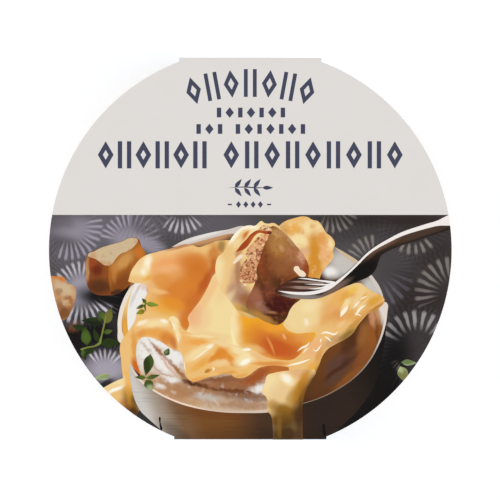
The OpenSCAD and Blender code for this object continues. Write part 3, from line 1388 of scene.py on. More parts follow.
# %% Inside the box
box_inside = [
    (-38.9, -20), (-38.6, -26), (-37.6, -31), (-35.4, -35.6), (-32.2, -39.2), (-28.4, -41.9),
    (-24, -44.2), (-18, -46.3), (-10, -47.8), (-3, -48.2), (5, -47.9), (14, -46), (20, -44.3),
    (26, -41.4),
    (31, -37.9), (35, -33.6), (38, -28.3), (39.8, -23), (40.3, -18), (39.3, -13.8), (36, -8.4),
    (30.5, -3), (25, 1), (10, 4), (-5, 5.4), (-15, 3), (-24, 0.4), (-31, -4), (-36.5, -12),
]
INSIDE_TONES = [
    dab("#6E4018", 28, -32, 12, 10, 30, 0.9),
    dab(CRUST, 37, -24, 2.6, 8, -18, 0.8),
    dab(TOAST, 37.4, -18.4, 2, 3, 0, 0.9),
    dab(CHALK, 39.6, -18, 1.1, 4, 4, 0.8),
    dab(BARK, 37.6, -24, 0.5, 5, 8, 0.8),
    dab(COCOA, 26, -34.4, 5.5, 2.6, 38, 0.95, soft=0.5),
    dab(COCOA, 24, -38.5, 4.5, 1.6, 32, 0.9, soft=0.5),
    dab(UMBER, 25.5, -36, 7, 0.7, 38, 0.9),
    dab("#8A4E26", 33.4, -32, 1.4, 5, -34, 0.6),
    dab("#C98A66", 36.4, -20.6, 0.8, 2.4, 8, 0.8),
    dab("#7A4A3A", 29, -30.4, 3.4, 0.9, 38, 0.6),
    dab("#6A3A14", 20.6, -38, 1.6, 4, -20, 0.8),
    dab(TOAST, -37, -18, 2, 10, -4, 1),
    dab(TOAST, -32, -41, 5, 1.6, -38, 0.9),
    dab(TOAST, -12, 3.6, 9, 1.6, 14, 1),
    dab(UMBER, 29.6, -27.6, 2, 5, -24, 0.8),
    dab("#9A6230", 33.6, -25, 1.4, 4, -16, 0.7),
    dab("#5C3614", 19, -41, 4, 3, 40, 0.7),
    dab(CRUST, 30, -37.6, 6, 1, 38, 0.5),
    dab(STONE, 28, -4, 5, 4, -30, 1),
    dab(CHALK, 23.8, -6.6, 2.2, 1.7, -20, 1, soft=0.7),
    dab(STONE, 36.5, -11, 3.5, 3.5, -45, 1),
]
inside = painted("box_inside_print", UMBER, INSIDE_TONES, wobble=0.7)
ink("print_box_inside", inside, 3, [box_inside])

# %% [markdown]
# The rind is a crust of white mould over pale brown, cracked into plates. Noise mixes the two,
# cracks are dabs that are long and thin, and the shade under the melted cheese darkens it.

# %% Rind
rind_field = [
    (-34.6, -26), (-34.2, -30.5), (-33.2, -35.8), (-31.6, -39.6), (-28.6, -41.9), (-24.2, -44.2),
    (-18, -46.3), (-10, -47.8), (-3, -48.2), (5.4, -47.9, CORNER), (7, -38, CORNER),
    (14, -36, CORNER), (14, -33.4, CORNER), (0, -33), (-10, -34), (-18, -30, CORNER), (-26, -25),
    (-31, -24.5),
]
rind_strip = [
    (-34.2, -9.8), (-35.6, -12.6), (-36.6, -17), (-36.8, -21.5), (-36.2, -24.6), (-34.6, -23.5),
    (-33.4, -20), (-32, -16), (-29.6, -14.6), (-29.2, -12), (-30.6, -9.8),
]
RIND_TONES = [
    dab("#B8875C", -24, -42, 8, 2.4, -25, 0.9),
    dab("#A8744C", -16, -41.5, 8, 3, -10, 0.8),
    dab("#98603A", -5, -40.2, 9, 2.6, -4, 0.95),
    dab("#7E4E32", -1, -43.2, 8, 1.6, -3, 0.85),
    dab(STONE, -13, -43.8, 3.6, 1.1, -6, 0.7),
    dab("#C49C74", -17, -45.2, 3, 1, -14, 0.8),
    dab("#A87C5E", -2, -46.2, 9, 1.2, -2, 0.8),
    dab(CHALK, 2.8, -41.4, 2.6, 1.3, 0, 0.95),
    dab("#8E7468", 0, -44.6, 4.4, 0.7, 0, 0.6),
    dab(COPPER, 1.6, -37.8, 4.4, 1.9, 20, 0.95),
    dab(CARAMEL, 7.4, -35.6, 5.4, 1.7, 4, 1),
    dab(CHALK, -31, -30, 3.2, 5.5, 5, 1),
    dab(CHALK, -26, -33.5, 2.6, 4.5, 30, 1),
    dab(CHALK, -22.5, -31.5, 2.6, 3.6, 35, 1),
    dab(CHALK, -27.5, -27.6, 4.5, 1.1, -20, 1),
    dab(CHALK, -23.6, -38.5, 2.6, 0.8, -8, 0.9),
    dab(CHALK, -26.8, -40.7, 1.5, 0.8, -18, 0.7),
    dab("#C29670", -29.4, -38.4, 2, 1.4, -20, 0.8),
    dab("#C9A07C", -30.5, -36, 0.9, 1.6, 0, 0.5),
    dab(CRUST, -27.3, -30, 3.3, 0.5, -48, 0.9, soft=0.7),
    dab(CRUST, -21.8, -35.6, 4.6, 0.6, -48, 0.9, soft=0.7),
    dab(BLUSH, -24.6, -34.4, 3.6, 0.4, -50, 0.8, soft=0.7),
    dab(FAWN, -27.5, -35.8, 2.4, 0.35, -30, 0.6, soft=0.8),
    dab(FAWN, -25.4, -37, 2, 0.3, -12, 0.6, soft=0.8),
    dab(FAWN, -31.4, -28.6, 0.35, 2, 30, 0.5, soft=0.8),
    dab(BARK, -15, -40.2, 4.5, 0.55, -12, 0.95, soft=0.7),
    dab(BARK, -5.5, -41.9, 7.5, 0.5, -6, 0.9, soft=0.7),
    dab(UMBER, -17.6, -39.5, 2.6, 0.5, -18, 0.9),
    dab(BARK, -10, -38.4, 6, 0.5, 10, 0.6),
]
STRIP_TONES = [
    dab(BLUSH, -31.6, -10.8, 1, 1.2, -20, 0.5),
    dab(TOAST, -29.7, -12.6, 0.9, 1.9, 28, 0.95),
    dab(BLUSH, -33.3, -11.2, 0.35, 1.6, -30, 0.6),
    dab(STONE, -34.8, -14, 0.5, 3, -22, 0.6),
    dab(STONE, -33.4, -20.5, 0.8, 2, 0, 0.5),
]
RIND_FLECKS = [("#A87850", 0.52, 0.72, 0.5), (CHALK, 0.45, 0.28, 0.3)]
RIND_SHADES = [
    dab(CARAMEL, 8, -35.4, 6, 1.5, 2, 1),
    dab(COPPER, 2.6, -37, 3.4, 1.3, 30, 0.9),
    dab("#8A5230", -8, -38.6, 7, 0.8, 2, 0.7),
]
rind = painted(
    "rind_print",
    "#CFB598",
    RIND_TONES,
    wobble=0.8,
    size=1.6,
    spots=(2.2, 6),
    flecks=RIND_FLECKS,
    shades=RIND_SHADES,
)
ink("print_rind", rind, 4, [rind_field])
ink("print_rind_strip", painted("rind_strip_print", CHALK, STRIP_TONES), 4, [rind_strip])

# %% [markdown]
# The rim of the pictured box is a ribbon, broad and white at the left, a thin line of light
# along the front, and broad again at the back. Between the rim and the rind a strip of melted
# fat shines like honey.

# %% Rim
rim_left = ribbon(
    [(-33.9, -9.3), (-35.8, -12), (-37.6, -15.6), (-38.7, -19.6), (-38.9, -23.6), (-38.3, -27.6)],
    [0, 1, 1.2, 1.2, 1.2, 0.9],
)
rim_front = ribbon(
    [
        (-36.4, -33.2), (-34.2, -37), (-31.6, -39.8), (-28.4, -42), (-24, -44.3), (-18, -46.4),
        (-10, -47.9), (-3, -48.3), (6, -47.9),
    ],
    [0.2, 0.8, 0.55, 0.5, 0.5, 0.5, 0.45, 0.45, 0.4],
)
rim_right = ribbon(
    [
        (12, -46.7), (20, -44.3), (26, -41.4), (31, -37.9), (35, -33.6), (38, -28.3), (39.8, -23),
        (40.4, -19), (40.2, -15.6),
    ],
    [0, 0.3, 0.35, 0.35, 0.4, 0.5, 0.65, 0.75, 0.7],
)
rim_back_right = ribbon(
    [(39.9, -15), (38.3, -11.6), (35.8, -7.8), (33, -4.6), (28, -1.2), (25, 1)], 1
)
rim_back_left = ribbon(
    [(-23.5, 0.9), (-19, 2.4), (-13, 4.1), (-7, 5.4), (-1, 6.3)], [0, 1.6, 1.7, 1.3, 1]
)
RIM_TONES = [
    dab("#EFE3D4", -37.6, -19, 3, 11, -12, 0.9),
    dab("#F7DCC6", -24, -44, 14, 3, -24, 0.95),
    dab("#D9C0AC", -4, -48.2, 12, 2, 0, 0.9),
    dab("#8A715D", 24, -42, 14, 5, 34, 1),
    dab("#8E7A6C", 35.6, -33, 3, 5, -30, 0.6),
    dab("#E6D9CC", 40, -19.5, 1.6, 5, 0, 0.9),
    dab(SAND, 29, -1.5, 6, 2, -35, 0.9),
    dab(CHALK, -12, 4.8, 9, 0.5, 17, 0.7),
]
ink(
    "print_rim",
    painted("rim_print", "#D3C9C1", RIM_TONES, wobble=0),
    5,
    [rim_left, rim_front, rim_right, rim_back_right, rim_back_left],
)
fat_strip = ribbon(
    [(-34.6, -10.6), (-36.3, -14.2), (-37.3, -18.6), (-37.3, -23), (-36.8, -26.4)],
    [0, 0.9, 1.3, 1.5, 0.8],
)
FAT_TONES = [dab(BUTTER, -36, -14, 1.6, 5, -18, 0.9), dab(GOLD, -37.4, -24.5, 1.2, 3.4, 0, 0.6)]
ink("print_fat", painted("fat_print", "#D9A04A", FAT_TONES, wobble=0.2), 4.6, [fat_strip])
wall_staples = [
    ribbon([(-27, -49.7), (-26.9, -51.4), (-26.4, -53.6)], [0.25, 0.35, 0.3]),
    ribbon([(21.9, -51.8), (21.9, -53.4), (22.2, -55.2)], [0.3, 0.7, 0.5]),
]
ink("print_wall_staples", painted("staple_print", COAL, []), 3, wall_staples)

# %% [markdown]
# ## The melted cheese
# Baked camembert runs like thick custard. Its outline is made in four runs, so that the flap at
# the right and the folds at the front, which lie over the rest, share their edges with the whole.
# Where light comes through, it is butter yellow, where it lies thick it is orange, and its wet
# crests have small highlights.

# %% The cheese's edges
dome_edge = [
    (-36.4, -9.3, CORNER), (-35.6, -6.6), (-34.4, -4.5), (-31.8, -1.9), (-28, -0.6), (-24, 0.4),
    (-20, 1.7), (-17.6, 1.6), (-15.4, 0.9), (-13, 1.6), (-9.5, 2.8), (-6, 3, CORNER),
    (2, -5, CORNER),
]
right_edge = [
    (14, -14, CORNER), (20, -14), (25, -12), (29, -10.6), (32.6, -9.8), (35, -11.4),
    (37.5, -12.8), (39.4, -13.8), (40, -15), (39.4, -16.3), (38, -17.5), (36.5, -18.2),
    (35, -18.9, CORNER), (33.8, -20.3), (32, -22.5), (30.7, -24.6), (28.8, -26.2), (25.5, -28),
    (23.2, -29.4), (21.6, -31.4), (20.5, -34.2), (19, -37.4), (17, -40, CORNER),
    (12, -38, CORNER), (11.4, -34.9, CORNER),
]
front_edge = [
    (8, -34.4), (5, -34.5), (2.6, -35.1), (1, -36.2), (-0.6, -37.4), (-2.6, -38.1),
    (-4.6, -37.9), (-6, -36.9), (-8, -36.9), (-10.4, -37.4), (-13, -38), (-15.4, -38.9),
    (-17, -39.2), (-18.6, -38.3), (-19.5, -36.4), (-19.8, -34), (-20.2, -31.5),
    (-20.9, -30.2, CORNER),
]
left_edge = [
    (-22.2, -29.8), (-23.8, -29.2), (-25.5, -28), (-28, -26.6), (-31, -25.9), (-32.6, -26.2),
    (-33.6, -27.5), (-34.1, -30), (-33.9, -33), (-33.2, -35.4), (-32.3, -37.5, CORNER),
    (-34.6, -35.4), (-36.1, -33.4, CORNER), (-36, -36), (-35.6, -39.5), (-35, -43), (-34, -46),
    (-32.9, -47.6, CORNER), (-35, -51, CORNER), (-47, -43, CORNER), (-44.4, -41.4), (-42, -40),
    (-39.8, -38.9), (-37.9, -38.1, CORNER), (-38.3, -35.5), (-38.6, -32), (-38.9, -29.5),
    (-38.4, -27), (-36.9, -25), (-35.4, -22.8), (-34.3, -20.8), (-33.7, -18.8), (-32.6, -16.4),
    (-31.3, -14), (-30.5, -12), (-31, -10.5), (-32.6, -9.9), (-34.8, -9.8),
]
right_flap = right_edge + [(12.6, -33.4), (13, -31, CORNER), (7, -24, CORNER)]
front_folds = [(11.4, -34.9, CORNER)] + front_edge + [
    (-21.4, -28.6), (-22.2, -26.4), (-23.2, -24), (-24.2, -21.9), (-24.3, -20.3), (-23, -19.6),
    (-21.6, -20.5), (-20.9, -22), (-20.1, -23.4), (-18.4, -24.5), (-15.4, -25.1), (-12, -25.4),
    (-8.6, -27), (-5, -28.2), (-1, -29), (2, -30.4), (5, -31.4, CORNER), (13, -31, CORNER),
]
all_cheese = dome_edge + right_edge + front_edge + left_edge
print("the cheese's whole outline has", len(all_cheese), "points")

# %% Colours of the cheese
DOME_TONES = [
    dab(CREAM, -33.4, -5, 3.4, 4, 40, 0.7),
    dab("#F2C489", -26, -1.6, 9, 1.8, 16, 0.7),
    dab("#EFA562", -23.5, -4.6, 6.5, 3, 8, 0.9),
    dab("#F3B57C", -24.6, -5.6, 3.4, 1.2, 10, 0.7),
    dab("#D98030", -16.6, -3.6, 5, 3, -12, 0.9),
    dab("#CF7424", -15.6, -7.6, 4.4, 5, -15, 0.95),
    dab("#D97E28", -21, -12.4, 7, 5, 15, 0.95),
    dab("#E0913C", -26.6, -9, 3, 2.2, -10, 0.8),
    dab(GOLD, -25, -17, 5, 2.4, -8, 0.8),
    dab("#F2BE7A", -27.6, -12.3, 2.8, 0.8, -12, 0.9),
    dab("#B9521A", -13.4, -9.6, 1.3, 5, -28, 0.85),
    dab("#CC6A20", -17.4, -17, 3, 5, -28, 0.9),
    dab("#E48C28", -23, -16, 3.6, 1.8, -20, 0.8),
    dab("#D4731F", -19.4, -21.8, 1.6, 2.4, 14, 0.9),
    dab(BRONZE, -8.6, 1.2, 1.2, 1.8, 0, 0.7),
    dab("#C87420", -10.8, -1.4, 1.8, 3.4, 10, 0.8),
    dab("#B95A1A", -10.8, -5, 0.9, 2.6, 0, 0.7),
    dab(HONEY, -14.4, 0.4, 2.8, 0.8, 12, 0.8),
    dab("#B98058", -20.6, 1.1, 4, 0.55, 14, 0.9),
    dab(HONEY, -33.4, -8.4, 2.2, 1, 5, 0.7),
    dab(GOLD, -31, -8.3, 1.6, 0.8, 10, 0.8),
    dab(PEACH, -29.6, -10.6, 1.2, 1.1, 0, 0.5),
    dab(CREAM, -31, -4.6, 1.3, 3.4, -18, 0.9),
    dab(WHITE_LIGHT, -30.6, -3.6, 0.8, 1.5, -12, 0.8, soft=0.9),
    dab(WHITE_LIGHT, -32, -6.3, 0.6, 0.7, 0, 0.7, soft=0.9),
]
SLOPE_TONES = [
    dab("#F2D79C", 15, -19, 6, 6, 40, 0.95, soft=0.4),
    dab(CREAM, 18, -16.6, 3, 1.6, 20, 0.6),
    dab(WHITE_LIGHT, 16.6, -21.5, 0.6, 1.1, 10, 0.5),
    dab("#E9AC66", 25.4, -19, 4.4, 4, 42, 0.9, soft=0.4),
    dab("#EBB25E", 26.6, -14.2, 2, 3, -40, 0.85, soft=0.4),
    dab("#DE9A52", 25.6, -19.8, 3.6, 1.6, 42, 0.8),
    dab(HONEY, 22, -24, 5, 2.6, 25, 0.8),
    dab("#E3A03C", 29, -13.4, 2.6, 1.2, 35, 0.7),
    dab(BUTTER, 32.4, -11.6, 3, 1.6, -25, 0.9),
    dab("#DDA032", 36.4, -15.4, 3.6, 1.1, 30, 0.9),
    dab("#B9781E", 37.3, -17.3, 3.4, 0.6, 33, 0.9),
    dab("#E0A050", 32.8, -19, 3.4, 1.8, 38, 0.8),
    dab(CREAM, 32.4, -16, 2, 2.6, -30, 0.55),
    dab("#B98A3A", 30, -23.6, 3.4, 1.1, 38, 0.8),
    dab(BRONZE, 28.5, -25.6, 3.4, 0.9, 32, 0.8),
    dab("#9C7A34", 29.6, -24.8, 1.6, 0.7, 30, 0.5),
    dab("#F0C04E", 30.6, -11.8, 0.9, 1.6, -50, 0.8),
    dab("#E2A63A", 33.6, -14.4, 0.7, 1.8, -40, 0.7),
    dab("#FBE9B0", 28.4, -16.2, 0.8, 2.2, -36, 0.7),
    dab("#E0A046", 30.2, -18.6, 0.8, 2.4, -42, 0.6),
    dab("#C98A3C", 31.6, -21.4, 2.6, 0.6, 38, 0.6),
    dab("#F3C98A", 27, -22, 1.4, 0.7, 36, 0.7),
    dab("#E3A45C", 22.4, -20.6, 1.2, 2.4, -30, 0.5),
    dab(TOAST, 24, -27.4, 3.6, 1.2, 34, 0.7),
    dab(PEACH, 19, -29, 3, 2.6, 40, 0.8),
    dab("#D99A4A", 20.4, -31.6, 1, 2.6, -20, 0.8),
    dab(GOLD, 18.6, -36, 2, 2.6, -30, 0.8),
    dab(BRONZE, 20, -36.5, 0.9, 3, -20, 0.7),
]
LEDGE_TONES = [
    dab(WHITE_LIGHT, -32.2, -21.6, 1.6, 0.7, 20, 0.8),
    dab(CREAM, -28, -22, 4.4, 1.4, 0, 0.8),
    dab(WHITE_LIGHT, -25.6, -21.2, 1.1, 0.5, -5, 0.8),
    dab("#E9A650", -30, -24.4, 5, 1.1, 12, 0.8),
    dab("#E9A44C", -27, -25, 4, 1.3, -12, 0.9),
    dab("#D9822E", -25, -26.4, 2.2, 1.9, -30, 0.9),
    dab("#C96E2E", -22.9, -27.8, 0.9, 1.8, 14, 0.8),
    dab(AMBER, -32.6, -25, 1.4, 0.9, 30, 0.8),
    dab("#DF9A40", -34.5, -29.4, 0.9, 4.6, 4, 0.9),
    dab("#CC651E", -33.9, -34.8, 1, 2.6, 24, 1),
    dab(HONEY, -37.8, -33, 0.7, 6, 3, 0.5),
]
FOLD_TONES = [
    dab(CREAM, -22.9, -20.6, 1.9, 0.9, -25, 0.95),
    dab(CREAM, -21.8, -23.8, 0.9, 3.4, 20, 0.95, soft=0.4),
    dab("#EFC078", -20.4, -24.2, 0.8, 1.8, 30, 0.8),
    dab("#F0B468", -19, -27, 1.8, 2.2, 0, 0.8),
    dab("#F0A54C", -15.6, -27.5, 3, 0.8, 0, 0.95),
    dab(CREAM, -14, -25.7, 4.4, 0.5, -4, 0.8),
    dab("#F3D8A2", -8, -27.8, 4, 0.8, -12, 0.8),
    dab(CREAM, -15.6, -30.6, 4.4, 1.4, 30, 0.8),
    dab(WHITE_LIGHT, -12, -28.8, 1.2, 0.5, 30, 0.8),
    dab("#EAAA5A", -13.6, -33.2, 2.8, 1, 28, 0.8),
    dab(APRICOT, -8.6, -30.9, 1.9, 1.9, 0, 0.95, soft=0.4),
    dab(APRICOT, -10.6, -31.9, 2.4, 0.8, 42, 0.9, soft=0.4),
    dab("#E2902E", -5.6, -32.8, 2.6, 1.1, -52, 0.95, soft=0.4),
    dab("#D9861E", -4.2, -34.3, 1.7, 0.7, -10, 0.9, soft=0.4),
    dab("#F4CC92", -8.8, -33.8, 2.2, 1, 8, 0.9),
    dab(HONEY, -16.4, -36.8, 2.8, 1.8, 0, 0.9),
    dab(GOLD, -15.4, -34.6, 3, 0.9, 30, 0.6),
    dab("#B9771A", -12.6, -36, 1, 0.5, 25, 0.95, soft=0.4),
    dab("#EAB266", -8, -35.6, 3.4, 0.8, 4, 0.8),
    dab("#DE9A3C", -6.6, -36.6, 2.4, 0.5, 4, 0.8),
    dab("#E9A24A", -16, -38.6, 3.4, 0.6, 16, 0.8),
    dab("#E3A552", -3, -37.4, 2.4, 0.6, 10, 0.8),
    dab(CREAM, -3.4, -30, 2.6, 1.1, -25, 0.9),
    dab(CREAM, -1.6, -32.6, 3.4, 1.8, 25, 1),
    dab(WHITE_LIGHT, -1.6, -33.4, 1.6, 0.7, 22, 1, soft=0.5),
    dab(WHITE_LIGHT, -0.9, -29.6, 1.4, 0.4, 8, 0.95, soft=0.5),
    dab("#EDBE84", 2.4, -31.6, 2.4, 0.8, -16, 0.9),
    dab("#DE9040", 6, -33.8, 5, 0.6, 0, 0.9),
]
STREAM_TONES = [
    dab(CREAM, -40.6, -40.2, 4, 1.7, 20, 0.9),
    dab(HONEY, -39, -43.6, 4, 3, -30, 0.9),
    dab(BRONZE, -35.4, -45.6, 2.2, 4.2, 20, 1),
    dab(CRUST, -37, -46.6, 2.4, 1.6, -30, 0.6),
    dab(UMBER, -34.6, -48.4, 2.6, 1.4, -30, 0.9),
    dab(GOLD, -36.4, -41, 1, 4.4, 4, 0.6),
    dab(WHITE_LIGHT, -40.4, -41.7, 2.6, 0.6, 27, 1),
]
cheese_print = painted("cheese_print", "#EFC07A", DOME_TONES + LEDGE_TONES + STREAM_TONES)
ink("print_cheese", cheese_print, 6, [all_cheese], clip=True)
flap_print = painted("right_flap_print", "#ECBF7A", SLOPE_TONES)
ink("print_right_flap", flap_print, 6.3, [right_flap])
ink("print_front_folds", painted("front_fold_print", "#F0BE74", FOLD_TONES), 6.7, [front_folds])

# %% The pale slope, the well and the flap behind
pale_slope = [
    (-8, -5, CORNER), (-10.9, -7.4), (-12.2, -10), (-13.6, -12.8), (-15.4, -15.6), (-17.4, -18.2),
    (-18.6, -20.2), (-18.2, -22), (-18.6, -23.4), (-19.4, -24.6, CORNER), (-12, -27, CORNER),
    (-5, -29.4, CORNER), (-1, -29, CORNER), (-2, -18, CORNER),
]
PALE_SLOPE_TONES = [
    dab("#F3C489", -13.4, -14, 1.6, 8, -32, 0.9),
    dab("#EFAE78", -16.4, -20, 2, 3, -10, 0.9),
    dab("#F2C592", -14.4, -20.6, 2.6, 4, -20, 0.6),
    dab("#EFCB90", -12, -26, 6, 1.6, -4, 0.7),
    dab("#FBEFB4", -4.9, -24.6, 0.8, 4, 4, 0.9),
    dab("#F2CF95", -8, -12, 1.6, 4, -25, 0.7),
]
cheese_well = [
    (-4, -15, CORNER), (-5.4, -20), (-5, -25.4), (-3.4, -28.2), (0.5, -29.2), (2.5, -30.6),
    (5, -31.9), (9, -32.7), (12.5, -32.6), (14.6, -31.2), (16, -29.4), (17.4, -28.2), (18.8, -26.6),
    (19.4, -24.8), (17.5, -24.6), (14, -24.8), (12.2, -24.4), (10.8, -23.6), (9.7, -22.1, CORNER),
    (11, -19.5, CORNER), (4, -15, CORNER),
]
WELL_TONES = [
    dab(CREAM, -5.6, -21, 2.6, 10, 3, 1, soft=0.7),
    dab("#F2A61E", 1, -20.5, 4.2, 5, 0, 0.9),
    dab(ORANGE, 3.5, -26.5, 5, 4, -25, 0.8),
    dab("#F0A02A", 7, -23, 3, 1.6, 0, 0.8),
    dab(EMBER, 8, -29, 5.4, 3.4, -20, 1),
    dab(EMBER, 12.4, -30, 3, 3, -20, 0.8),
    dab(ORANGE, 12.5, -26.6, 4, 1.7, -25, 0.8),
    dab(AMBER, 15.6, -26.2, 2.6, 1.4, 0, 0.7),
    dab(HONEY, 0.6, -29.4, 3.4, 1.1, -15, 0.8),
    dab(AMBER, 5.2, -32, 3.4, 0.8, -18, 0.7),
    dab(AMBER, 6.2, -28.4, 0.35, 2.6, 24, 0.8),
    dab(PEACH, 10.2, -25.7, 0.35, 0.9, 30, 0.8),
]
back_flap = [
    (7, 5, CORNER), (9.4, 8), (13, 9.5), (16.6, 10), (18.6, 9), (20.2, 8.6), (21.4, 7.2),
    (22.6, 5.2), (24.2, 3.9), (25.2, 2), (24.6, -0.4), (24.8, -2), (23.8, -3.6), (22.6, -5),
    (21.4, -6.6), (20.6, -8.6, CORNER), (12, -9, CORNER),
]
FLAP_TONES = [
    dab(CREAM, 18.4, 6.6, 3, 2.2, 0, 0.8),
    dab(GOLD, 12.4, 6, 2.4, 1.6, 0, 0.7),
    dab(CREAM, 14.4, 2.8, 3, 2, -10, 0.9),
    dab(OCHRE, 19.4, -1.6, 2, 6.6, 4, 1),
    dab(OCHRE, 18, -6, 2.4, 3, 0, 0.9),
    dab(PEACH, 22.4, -1.2, 1.6, 3, 6, 0.8),
    dab(AMBER, 21.4, 3.4, 1.1, 2.4, 10, 0.7),
    dab(CREAM, 23.8, 2.2, 0.9, 1.7, 20, 0.8),
    dab(BLUSH, 16, -0.4, 1.6, 1.3, 0, 0.6),
    dab(TOAST, 9, 5.6, 2.4, 2.4, -40, 0.5),
]
slope = painted("pale_slope_print", "#F5DCA0", PALE_SLOPE_TONES)
ink("print_pale_slope", slope, 6.5, [pale_slope])
ink("print_cheese_well", painted("well_print", GOLD, WELL_TONES), 7, [cheese_well])
VEINS = [("#D28E34", 0.52, 0.68, 0.4), (CREAM, 0.44, 0.3, 0.4)]
back_flap_print = painted(
    "back_flap_print", HONEY, FLAP_TONES, size=2, spots=(2.2, 4), flecks=VEINS
)
ink("print_back_flap", back_flap_print, 6, [back_flap])

# %% Drip
drip = [
    (5, -37.4), (7, -36.6), (12, -35.8), (17, -35.4), (19.4, -36), (18.6, -38.2), (16.9, -41.2),
    (15.8, -45), (15.6, -50), (15.7, -57), (16, -61.4), (15.4, -65), (13.2, -67.2), (10.8, -67.8),
    (8.4, -66.8), (6.8, -64.2), (6.4, -61), (6.7, -57), (6.6, -52), (6.1, -49.2), (5.1, -47.8),
    (5.2, -45.2), (4.6, -43.6), (3.7, -42.8), (3.7, -40.9), (4.4, -39.4),
]
DRIP_TONES = [
    dab("#E3B27C", 14.6, -36.4, 4, 1.8, -20, 0.9),
    dab(WHITE_LIGHT, 10.8, -38.4, 1.9, 1.2, -40, 0.9, soft=0.8),
    dab(CREAM, 6, -40.4, 2.6, 3.6, 0, 0.8),
    dab("#E9C793", 8.6, -43, 3.4, 3, 0, 0.8),
    dab("#C8882A", 15.6, -39.4, 1.5, 4.4, -28, 0.95),
    dab("#A86E16", 14.4, -43.4, 1.6, 4.4, -24, 0.95),
    dab("#6E4410", 17.6, -41, 1.3, 5, -28, 0.95),
    dab("#7A4E12", 15.8, -46, 1.5, 4, -8, 0.9),
    dab("#C99A58", 6.6, -45.8, 1.8, 1.4, 0, 0.8),
    dab("#B58128", 12.4, -43.6, 1.4, 3, -24, 0.7),
    dab("#94681A", 10.6, -47.8, 4.4, 1.8, -14, 1),
    dab("#7A5214", 9.6, -50.6, 5, 2.6, 0, 1),
    dab("#4A2F10", 14.6, -49, 2.2, 3.4, 0, 0.9),
    dab("#4A3010", 10.4, -55, 7, 4, 0, 1, soft=0.7),
    dab(UMBER, 15, -53, 1.4, 7, 0, 0.8),
    dab("#8A6220", 8.6, -52, 0.8, 4.4, 0, 0.6),
    dab("#3A2610", 11, -62, 8, 5, 0, 1),
]
ink("print_drip", painted("drip_print", BUTTER, DRIP_TONES), 7, [drip], clip=True)

# %% [markdown]
# Crests and wet lights are thin ribbons on top of the cheese. They are what makes the
# folds read as folds, so they keep a crisp edge.

# %% Lights on the cheese
wet_lights = [
    ribbon([(-17.6, -33), (-15.4, -31.6), (-13, -29.8), (-11, -28.6)], 0.3),
    ribbon([(-23.6, -21), (-22.9, -22.4), (-22.4, -23.8)], 0.5),
    ribbon([(-22, -25), (-21.6, -26.4), (-21.2, -28)], 0.35),
    ribbon([(-19.2, -36.4), (-19.6, -34.6), (-19.8, -32.8)], 0.3),
    ribbon([(-11.4, -34.7), (-10.9, -35.4), (-11.3, -36.1)], 0.45),
    ribbon([(10.6, -34.4), (13, -34), (15.6, -33.3), (18.2, -32.3)], 0.55),
    ribbon([(13.8, -30.3), (15.2, -29.2), (16.8, -28.4), (17.8, -27.2)], 0.5),
    ribbon([(15.6, -31), (16.4, -29.8), (17.6, -29)], 0.35),
    ribbon([(18.4, -29.4), (19.6, -30), (20.6, -29), (21.3, -28)], 0.4),
    ribbon([(20.8, -25), (22.2, -24.5), (23.6, -24.7), (25, -25.1), (26.4, -24)], 0.55),
    ribbon([(22, -25.6), (23, -26.2), (24.3, -27.5)], 0.5),
    ribbon([(20.9, -27.6), (21, -26.8), (21.3, -26.2)], 0.4),
    ribbon([(26.9, -20), (27.4, -18.8), (28.6, -17.4), (29.2, -16.4)], [0, 1.1, 0.9, 0]),
    ribbon([(31.2, -19.8), (32, -18.4), (33, -17.2), (34.6, -16.2)], 0.6),
    ribbon([(32.4, -15), (33.6, -14.2), (35, -13.6)], 0.4),
    ribbon([(30.6, -17.6), (31.6, -16.2), (33, -15)], 0.5),
    ribbon([(30.8, -18.9), (32.2, -19.2), (33.2, -19.8)], 0.35),
]
ink("print_wet_lights", painted("wet_light_print", "#FFF3DA", [], wobble=0), 8, wet_lights)

# %% [markdown]
# ## The dipped bread and the fork
# A piece of bread on a fork is held over the box. Its left side is coated in cheese, its right
# side is crust, and between them the torn crumb shows. The crumb's pits are noise, cut off
# sharply at one level.

